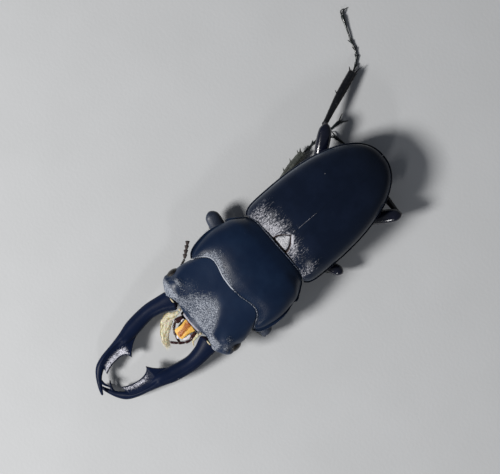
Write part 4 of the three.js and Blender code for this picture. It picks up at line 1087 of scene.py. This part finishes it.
BRUSH = {  # the mouth brushes: path, half width along it, number of hairs and their length
    "right": dict(
        line=[
            (-2.75, -23.4, 4.7), (-3, -24.6, 4.6), (-3.2, -25.9, 4.4), (-1.7, -28, 4.3), (-0.6, -28.9, 4.25),
            (0.6, -29.35, 4.2),
        ],
        wide=through(
            (0, 0.3), (0.12, 0.5), (0.3, 0.92), (0.42, 1.08), (0.6, 0.95), (0.8, 0.72), (0.93, 0.5),
            (1, 0.2),
        ),
        count=900, length=1,
    ),
    "left": dict(
        line=[(2.8, -23.4, 4.9), (3, -24.4, 4.8), (3.2, -25.1, 4.75), (3.9, -25.6, 4.8)],
        wide=through((0, 0.3), (0.6, 0.22), (1, 0.08)),
        count=60, length=0.5,
    ),
}


def matted(a, t):
    """Uneven factors for the section of a brush: its hairs cling together in locks."""
    wide = 1 + 0.06 * np.sin(29 * t + 3 * a) + 0.04 * np.sin(61 * t)
    high = 1 + 0.12 * np.sin(9 * a + 2 * np.sin(5 * t))
    return wide, high


def lock_tone(a, t):
    """Darker along a brush's sides and between its locks."""
    between = smooth(np.sin(5 * a + 17 * t), 0.4, 1) * (t > 0.1)
    return 0.5 * smooth(np.abs(np.cos(a)), 0.86, 0.98) + 0.35 * between


for word, brush in BRUSH.items():
    line, wide, count = brush["line"], brush["wide"], brush["count"]
    size = lambda t: (wide(t), 0.12 + 0.16 * wide(t))
    lobe = limb(line, size, (0.08, 0.05), 60, 90, shape=matted, edge=lock_tone)
    piece(f"brush_lobe_{word}", [lobe], BRUSH_FINISH, "brush", f"galea_{word}")
    t, a = random.random(count) ** 0.7, random.random(count) * 2 * math.pi
    roots, out, along = on_limb(line, size, t, a)
    ways = along * 1.3 + out * (0.12 + 0.3 * random.random((count, 1)))
    ways = ways + 0.3 * (random.random((count, 3)) - 0.5)
    reach = (0.4 + 0.5 * random.random(count)) * (0.5 + smooth(t, 0.6, 1)) * brush["length"]
    place = np.stack([t, a / 7], axis=-1)
    hairs = bristles(roots - out * 0.03, ways, reach, 0.02, np.array([0, 0, -0.1]), place)
    piece(f"brush_hairs_{word}", [hairs], STRAW_HAIR, "brush")

PALP = {
    "maxillary_right": [
        (-1.45, -23.6, 3.95), (-1.75, -25.3, 3.85), (-0.95, -26.4, 3.6), (0.4, -27, 3.4), (1.8, -27.3, 3.3),
    ],
    "maxillary_left": [
        (2.45, -23.6, 3.95), (2.7, -25.5, 4), (2.2, -26.7, 4.1), (1.2, -27.9, 4.25), (0.4, -28.6, 4.35),
    ],
    "labial_right": [(-0.6, -23.5, 3.1), (-0.75, -24.7, 2.7), (-0.55, -25.6, 2.4)],
    "labial_left": [(1.3, -23.5, 3.1), (1.5, -24.7, 2.7), (1.35, -25.6, 2.4)],
}
for name, line in PALP.items():
    long = name.startswith("max")
    joints = (0.3, 0.49, 0.72) if long else (0.35, 0.68)

    def girth(t):
        """Each joint of a palp swells to its outer end and is pinched where the next starts; a long palp's
        first joint is stout."""
        pinch = sum(bell(t, joint, 0.018) for joint in joints)
        swell = np.mod(np.interp(t, (0, *joints, 1), range(len(joints) + 2)), 1)
        stout = 0.28 * (1 - smooth(t, 0.22, 0.34)) if long else 0
        return 0.2 + 0.1 * swell * (1 - smooth(t, 0.8, 1)) + 0.03 - 0.13 * pinch + stout

    ringlets = lambda a, t: 0.8 * sum(bell(t, joint, 0.04) for joint in joints)
    palp = limb(line, lambda t: (girth(t), girth(t)), (0.04, 0.05), 18, 70, edge=ringlets)
    piece(f"palp_joints_{name}", [palp], PALP_FINISH, "palp", f"palp_{name}")


# ---- Antennae -------------------------------------------------------------------------------------
ANTENNA = {
    "left": dict(
        base=(5.6, -21.9, 3.45), elbow=(8.6, -18.2, 3.3), club=(6.1, -19.5, 2.95), tip=(2.8, -20.9, 2.55),
    ),
    "right": dict(
        base=(-5.6, -21.9, 3.45), elbow=(-8.7, -18.6, 3.6), club=(-9.7, -16.2, 3.9), tip=(-11.9, -13.4, 4.2),
    ),
}
for word, side in SIDES:
    base, elbow, club, tip = (np.array(at, float) for at in ANTENNA[word].values())
    middle = (base + elbow) / 2 + [side * 0.3, 0, 0]
    thick = through((0, 0.3), (0.08, 0.22), (0.5, 0.24), (0.85, 0.36), (1, 0.3))
    scape = limb([base, middle, elbow], lambda t: (thick(t), thick(t)), (0.04, 0.05), 20, 40)
    piece(f"antenna_stalk_{word}", [scape], ANTENNA_FINISH, "antenna", f"antenna_scape_{word}")
    beads = []
    for k in range(7):
        start, end = (mix(elbow, club, 0.06 + 0.135 * j) for j in (k, k + 1.12))
        swell = lambda t: 0.14 + (0.16 - 0.01 * k) * np.sin(math.pi * np.clip(0.15 + 0.75 * t, 0, 1)) ** 1.5
        line = [start, mix(start, end, 0.5), end]
        beads.append(limb(line, lambda t: (swell(t), swell(t)), (0.2, 0.2), 16, 8))
    piece(f"antenna_beads_{word}", beads, ANTENNA_FINISH, "antenna", f"antenna_funicle_{word}")
    along = tip - club
    comb = unit(np.cross(along, [0, 0, 1])) * side
    cups = []
    cup_width = through((0, 0.2), (0.25, 0.26), (0.65, 0.38), (0.9, 0.44), (1, 0.36))
    for k in range(4):
        start, end = (club + along * (0.03 + 0.24 * j) for j in (k, k + 1.08))
        lean = comb * 0.09
        line = [start, mix(start, end, 0.5) + lean * 0.3, end + lean]
        cups.append(limb(line, lambda t: (cup_width(t), 0.72 * cup_width(t)), (0.12, 0.12), 26, 24))
    piece(f"antenna_cups_{word}", cups, CLUB_FINISH, "antenna_club", f"antenna_club_{word}")


# ---- Legs -----------------------------------------------------------------------------------------
LEGS = {
    "front_left": dict(
        hip=(4.3, -9.5, 2.6), knee=(11.4, -14, 4.4), shin=(10.8, -14.3, 2.75), ankle=(2.4, -17.3, 1.35),
        foot=[(2.6, -18.6), (3.3, -19.5), (4.2, -20.1), (5, -20.6), (7.3, -21.6)],
    ),
    "front_right": dict(
        hip=(-5.1, -8.2, 2.8), knee=(-13.5, -6.7, 4.5), shin=(-12.5, -7.5, 2.95), ankle=(-5.2, -12.2, 1.35),
        foot=[(-5, -13.5), (-5.2, -14.6), (-5.5, -15.6), (-5.9, -16.6), (-6.9, -19.2)],
    ),
    "middle_left": dict(
        hip=(4.8, 1.7, 2.45), knee=(12, 5, 4.1), shin=(11.4, 4.45, 2.6), ankle=(4.2, -1.2, 1.25),
        foot=[(4.9, -2.5), (5.9, -3.5), (6.7, -4.5), (7.3, -5.6), (8, -8.6)],
    ),
    "middle_right": dict(
        hip=(-4.4, 2.2, 2.45), knee=(-8.5, 5.4, 3.6), shin=(-8.8, 6.1, 3.5), ankle=(-10.3, 14.3, 1.15),
        foot=[(-10.4, 15.8), (-10.5, 17.1), (-10.5, 18.3), (-10.4, 19.5), (-10.3, 23.7)],
    ),
    "hind_left": dict(
        hip=(5, 11.7, 2.6), knee=(10.8, 20.6, 5.7), shin=(10.3, 20.3, 4.4),
        ankle=(-0.5, 20.7, 1.3), curl=0.35,
        foot=[(-1.9, 21.4), (-3.1, 21.7), (-4.2, 21.9), (-5.2, 21.9), (-8.7, 21)],
    ),
    "hind_right": dict(
        hip=(-4.6, 12.3, 2.7), knee=(-11.6, 21.2, 4.6), shin=(-11.75, 20.95, 3.25),
        ankle=(-15.9, 31.9, 1.35), curl=-1,
        foot=[(-16.6, 33.3), (-17.8, 34.5), (-19.2, 35.2), (-20.8, 35.5), (-25.6, 37.5)],
    ),
}
# half widths and heights of the thigh, half thickness of the shin at its knee and its half width and height
# at the other end, thorns on its outer edge, their length and the length of its long spur
PAIRS = {
    "front": dict(femur=(1.42, 0.9), tibia=(0.42, 1, 0.6), teeth=4, tooth=0.75, spur=1.1),
    "middle": dict(femur=(1.08, 0.88), tibia=(0.4, 0.78, 0.5), teeth=3, tooth=0.5, spur=1.1),
    "hind": dict(femur=(1.3, 0.95), tibia=(0.5, 0.84, 0.6), teeth=1, tooth=0.45, spur=1.6),
}
SOLE = 0.3  # height of the middle of each foot joint's end


def thigh(leg, pair):
    """The small ring joint at the hip; a thigh that swells past its middle, is flattened below where the
    shin folds in, and ends blunt between two round lobes; and the ball of the shin held between the
    lobes."""
    hip, knee, top = (np.array(leg[key], float) for key in ("hip", "knee", "shin"))
    wide, high = PAIRS[pair]["femur"]
    swell = through((0, 0.5), (0.2, 0.72), (0.5, 0.98), (0.72, 1.06), (0.88, 0.95), (1, 0.7))

    def hollow(a, t):
        below = (np.sin(a) < 0) * bell(np.abs(np.cos(a)), 0, 0.5)
        return 1, 1 - 0.22 * below * smooth(t, 0.55, 0.9)

    size = lambda t: (wide * swell(t), high * swell(t))
    darker = lambda a, t: 0.5 * smooth(t, 0.95, 1) + 0.5 * (1 - smooth(t, 0, 0.06))
    line = [mix(hip, knee, 0.02), mix(hip, knee, 0.5), knee]
    body = limb(line, size, (0.05, 0.13), 40, 60, shape=hollow, edge=darker)
    line = [mix(hip, knee, t) for t in (-0.05, 0.05, 0.13)]
    ring = limb(line, lambda t: (wide * 0.8, high * 0.86), (0.3, 0.3), 30, 12)
    across = unit(np.cross(knee - hip, [0, 0, 1]))
    lobes = []
    for s in (-1, 1):
        at = mix(hip, knee, 0.92) + across * wide * 0.32 * s - [0, 0, 0.4]
        lobes.append(egg(at, (0.38, 0.38, 0.36), rows=16))
    ball = limb([mix(knee, top, 0.15), mix(knee, top, 0.6), top], lambda t: (0.36, 0.4), (0.3, 0.3), 20, 12)
    return [body, ring, *lobes, ball]


def spine(root, tip, radius, lean=(0, 0, 0)):
    """A thorn: a slightly bent cone."""
    middle = mix(np.array(root), np.array(tip), 0.55) + lean
    return limb([root, middle, tip], lambda t: (radius * (1 - 0.85 * t),) * 2, (0.08, 0.06), 12, 10)


def shin_size(pair):
    """The half width and half height of a shin: it widens for 0.7 of its length and draws in at its very
    end."""
    thin, wide, high = PAIRS[pair]["tibia"]

    def size(t):
        grown, end = smooth(t, 0, 0.7), 1 - 0.12 * smooth(t, 0.965, 1)
        return mix(thin, wide, grown) * end, mix(thin, high, grown) * end

    return size


def shin_line(leg, pair):
    """The shin's path, its direction, and the direction across it that points away from the thigh."""
    hip, knee, top, ankle = (np.array(leg[key], float) for key in ("hip", "knee", "shin", "ankle"))
    way = unit(ankle - top)
    outer = unit(np.cross(way, [0, 0, 1]))
    outer = -outer if outer @ (hip - knee) > 0 else outer
    return [top, mix(top, ankle, 0.5) + outer * (-0.25 if pair == "front" else 0.12), ankle], way, outer


def shin(leg, pair):
    """A shin with six lengthwise grooves and toothed ridges between them, thorns on its outer edge, and two
    spurs and a crown of small thorns at its end."""
    line, way, outer = shin_line(leg, pair)
    thin = PAIRS[pair]["tibia"][0]
    teeth, tooth, spur = (PAIRS[pair][key] for key in ("teeth", "tooth", "spur"))
    size = shin_size(pair)

    def fluted(a, t):
        groove = bell(np.abs(np.sin(3 * a + 0.5)), 0, 0.33) * smooth(t, 0.06, 0.2)
        notch = (0.5 + 0.5 * np.sin(2 * math.pi * 13 * t)) ** 3 * bell(np.abs(np.sin(3 * a + 0.5)), 1, 0.15)
        factor = 1 - 0.16 * groove + 0.07 * notch * smooth(t, 0.2, 0.4)
        return factor, factor

    def darker(a, t):
        ends = 0.5 * (1 - smooth(t, 0, 0.06)) + 0.5 * smooth(t, 0.96, 1)
        return ends + 0.35 * smooth(np.abs(np.cos(a)), 0.75, 0.95)

    parts = [limb(line, size, (0.03, 0.03), 48, 90, shape=fluted, edge=darker)]
    at = route(line)
    edge = lambda t, reach: at(t) + outer * reach * float(size(np.array(t))[0])
    for k in range(teeth):
        t = 0.55 if teeth == 1 else mix(0.4, 0.93, k / (teeth - 1))
        tip = edge(t, 1) + outer * tooth + way * 0.35
        parts.append(spine(edge(t - 0.02, 0.5), tip, 0.3 * tooth**0.5, -way * 0.05))
    parts.append(spine(edge(0.95, 0.4), edge(1, 1) + outer * 0.4 + way * 0.45, 0.28))
    parts.append(spine(edge(0.95, -0.5), edge(1, -1) - outer * 0.3 + way * spur, 0.2, outer * 0.08))
    parts.append(spine(edge(0.96, -0.1), edge(1, -0.4) + way * 0.95 - [0, 0, 0.35], 0.17, [0, 0, -0.05]))
    for a in np.linspace(0, 2 * math.pi, 9, endpoint=False):
        (root,), (out,), (along,) = on_limb(line, size, np.array([0.97]), np.array([a]))
        parts.append(spine(root - out * 0.12, root + out * 0.1 + along * 0.42, 0.09))
    parts.append(egg(line[0], (thin * 1.15, thin * 1.15, thin * 1.1), rows=16, columns=20))
    return parts


def foot_joints(leg):
    """The start and the end of each joint of the foot: the first starts inside the end of the shin."""
    ends = [np.array([x, y, SOLE], float) for x, y in leg["foot"]]
    top, ankle = np.array(leg["shin"], float), np.array(leg["ankle"], float)
    points = [mix(top, ankle, 0.97) - [0, 0, 0.12], *ends]
    starts = [points[0], *(mix(points[k], points[k + 1], -0.06) for k in range(1, 5))]
    return list(zip(starts, ends))


# points of a claw from its root to its tip: forward, outward, share of the curl, height over the floor
CLAW = [
    (-0.15, 0.12, 0, 0.36), (0.35, 0.4, 0.05, 0.5), (0.9, 0.7, 0.35, 0.44), (1.3, 0.84, 0.85, 0.22),
    (1.4, 0.86, 1.15, 0.05),
]


def foot(leg):
    """Four short joints that flare to their outer ends, a long last one, two hooked claws and a peg between
    them."""
    parts = []
    joints = foot_joints(leg)
    flare = lambda a, t: (1 - 0.08 * np.sin(a), 1 + 0.12 * (np.sin(a) < 0) * smooth(t, 0.7, 0.95))
    darker = lambda a, t: 0.8 * (1 - smooth(t, 0, 0.12)) + 0.5 * smooth(t, 0.93, 1)
    for k, (start, end) in enumerate(joints):
        if k < 4:
            girth = through((0, 0.14), (0.2, 0.155), (0.65, 0.2), (0.88, 0.3), (1, 0.24))
            line = [start, mix(start, end, 0.5), end]
            steps = 20
        else:
            girth = through((0, 0.15), (0.15, 0.16), (0.5, 0.18), (0.75, 0.3), (0.92, 0.4), (1, 0.32))
            line = [start, mix(start, end, 0.35) + [0, 0, 0.12], mix(start, end, 0.75) + [0, 0, 0.1], end]
            steps = 40
        size = lambda t: (girth(t), girth(t) * 0.92)
        parts.append(limb(line, size, (0.08, 0.06), 24, steps, shape=flare, floor=0, edge=darker))
        ahead = unit(end - start)
        across = np.array([-ahead[1], ahead[0], 0])
        if k < 4:
            for s in (-1, 1):
                root = mix(start, end, 0.86) + across * 0.2 * s - [0, 0, 0.12]
                tip = end + ahead * 0.35 + across * 0.48 * s
                tip[2] = 0.05
                parts.append(spine(root, tip, 0.1))
    start, last = joints[4]
    ahead = unit((last - start) * [1, 1, 0])
    across = np.array([-ahead[1], ahead[0], 0])
    curl = leg.get("curl", 0)  # how far both claws turn to the foot's left
    shorter, narrower = 0.35 * abs(curl), 1 - 0.5 * abs(curl)
    tipped = lambda a, t: 0.7 * smooth(t, 0.3, 1)
    taper = lambda t: (0.17 * (1 - 0.8 * t**1.3),) * 2
    for s in (-1, 1):
        hook = []
        for forward, out, turn, height in CLAW:
            at = last + ahead * (forward - shorter * turn) + across * (s * out * narrower + curl * turn)
            hook.append(at + [0, 0, height - SOLE])
        parts.append(limb(hook, taper, (0.05, 0.03), 14, 30, floor=0, edge=tipped))
    peg = [last, last + ahead * 0.3 - [0, 0, 0.05], last + ahead * 0.6 - [0, 0, 0.12]]
    parts.append(limb(peg, lambda t: (0.06, 0.06), (0.1, 0.2), 10, 8))
    return parts


def leg_hairs(leg, pair, random):
    """Rows of short bristles down the shin, tufts under the ends of the foot's joints, and two on the
    peg."""
    line, _, _ = shin_line(leg, pair)
    size = shin_size(pair)
    count = 110
    t = 0.12 + 0.86 * random.random(count)
    a = np.round(random.random(count) * 6) * math.pi / 3 + 0.2 * (random.random(count) - 0.5) - 0.17
    roots, out, along = on_limb(line, size, t, a)
    reach = 0.28 + 0.25 * random.random(count)
    place = np.stack([t, a / 8 + 0.1], -1)
    parts = [bristles(roots - out * 0.06, along + 0.55 * out, reach, 0.022, place=place)]
    for k, (start, end) in enumerate(foot_joints(leg)):
        ahead = unit(end - start)
        across = np.array([-ahead[1], ahead[0], 0])
        if k < 4:
            spread = random.random((16, 2)) - 0.5
            roots = mix(start, end, 0.84) + across * 0.4 * spread[:, :1] + ahead * 0.14 * spread[:, 1:]
            roots = roots - [0, 0, 0.16]
            ways = ahead * 0.9 + across * 0.9 * spread[:, :1] + [0, 0, -0.3]
            parts.append(bristles(roots, ways, 0.3, 0.016, [0, 0, 0.05], 0.5 + 0.1 * k + 0.05 * spread))
        else:
            roots = np.array([end + ahead * 0.55 - [0, 0, 0.1]] * 2)
            ways = ahead + across * np.array([[0.5], [-0.5]])
            place = np.array([[0.95, 0.9], [0.95, 0.95]])
            parts.append(bristles(roots, ways, 0.5, 0.02, [0, 0, 0.04], place))
    return parts


COXA = {"front": (2.3, 1.5, 1.0), "middle": (1.7, 1.5, 0.9), "hind": (3.1, 1.25, 0.85)}
THIGH_FINISH = {"front": SLATE_FINISH, "middle": LEG_FINISH, "hind": LEG_FINISH}
TIBIA_FINISH = {"front": PALE_SHIN_FINISH, "middle": PALE_SHIN_FINISH, "hind": SHIN_FINISH}
for name, leg in LEGS.items():
    pair, word = name.split("_")
    side = dict(SIDES)[word]
    at, _ = spot(f"coxa_{name}")
    ribbed = lambda x, y, z: 1 - 0.05 * bell(x, 0.72, 0.06) - 0.04 * bell(z, -0.35, 0.08)
    hip = egg(at, COXA[pair], side * COXA_TURN[pair], 44, 60, dent=ribbed, edge=0.1)
    piece(f"hip_{name}", [hip], UNDER_FINISH, "leg", f"coxa_{name}")
    piece(f"thigh_{name}", thigh(leg, pair), THIGH_FINISH[pair], "leg", f"femur_{name}")
    piece(f"shin_{name}", shin(leg, pair), TIBIA_FINISH[pair], "shin", f"tibia_{name}")
    piece(f"foot_{name}", foot(leg), FOOT_FINISH, "foot", f"tarsus_{name}")
    piece(f"leg_bristles_{name}", leg_hairs(leg, pair, random), DARK_HAIR, "foot")


# ---- Floor and light ------------------------------------------------------------------------------
# all of these in metres
FLOOR_SIZE = 1.2
LAMP_DISTANCE = 0.5
LAMP_TARGET = HOME * MM + [0, 0, 0.006]


def floor():
    """A plain pale sheet of one square face."""
    half = FLOOR_SIZE / 2
    mesh = bpy.data.meshes.new("floor")
    corners = [(-half, -half, 0), (half, -half, 0), (half, half, 0), (-half, half, 0)]
    mesh.from_pydata(corners, [], [(0, 1, 2, 3)])
    make = Finish("floor_paper")
    tone = make.blend(make.noise(14, 3), (0.555, 0.565, 0.575), (0.605, 0.615, 0.63))
    mesh.materials.append(make.surface(tone, 0.9, make.noise(0.6, 3), 0.02, Specular_IOR_Level=0.15))
    made = bpy.data.objects.new("floor", mesh)
    bpy.context.scene.collection.objects.link(made)


def lamp(name, toward, size, power, colour):
    """A square soft lamp that lights the beetle from the direction toward."""
    data = bpy.data.lights.new(name, "AREA")
    data.size, data.energy, data.color = size, power, colour
    made = bpy.data.objects.new(name, data)
    bpy.context.scene.collection.objects.link(made)
    back = unit(np.array(toward, float))
    right = unit(np.cross([0, 0, 1], back))
    up = np.cross(back, right)
    place = Matrix([[*row, 0] for row in np.stack([right, up, back], axis=1).tolist()] + [[0, 0, 0, 1]])
    place.translation = (LAMP_TARGET + back * LAMP_DISTANCE).tolist()
    made.matrix_world = place


floor()
lamp("key_lamp", (-0.276, -0.722, 0.634), 0.12, 2.9, (1, 0.985, 0.96))
lamp("front_lamp", (0.6, -0.64, 0.48), 0.05, 0.3, (1, 1, 1))
world = bpy.data.worlds.new("world")
world.use_nodes = True
world.node_tree.nodes["Background"].inputs["Color"].default_value = (0.085, 0.092, 0.105, 1)
bpy.context.scene.world = world
bpy.context.scene.view_settings.view_transform = "Standard"
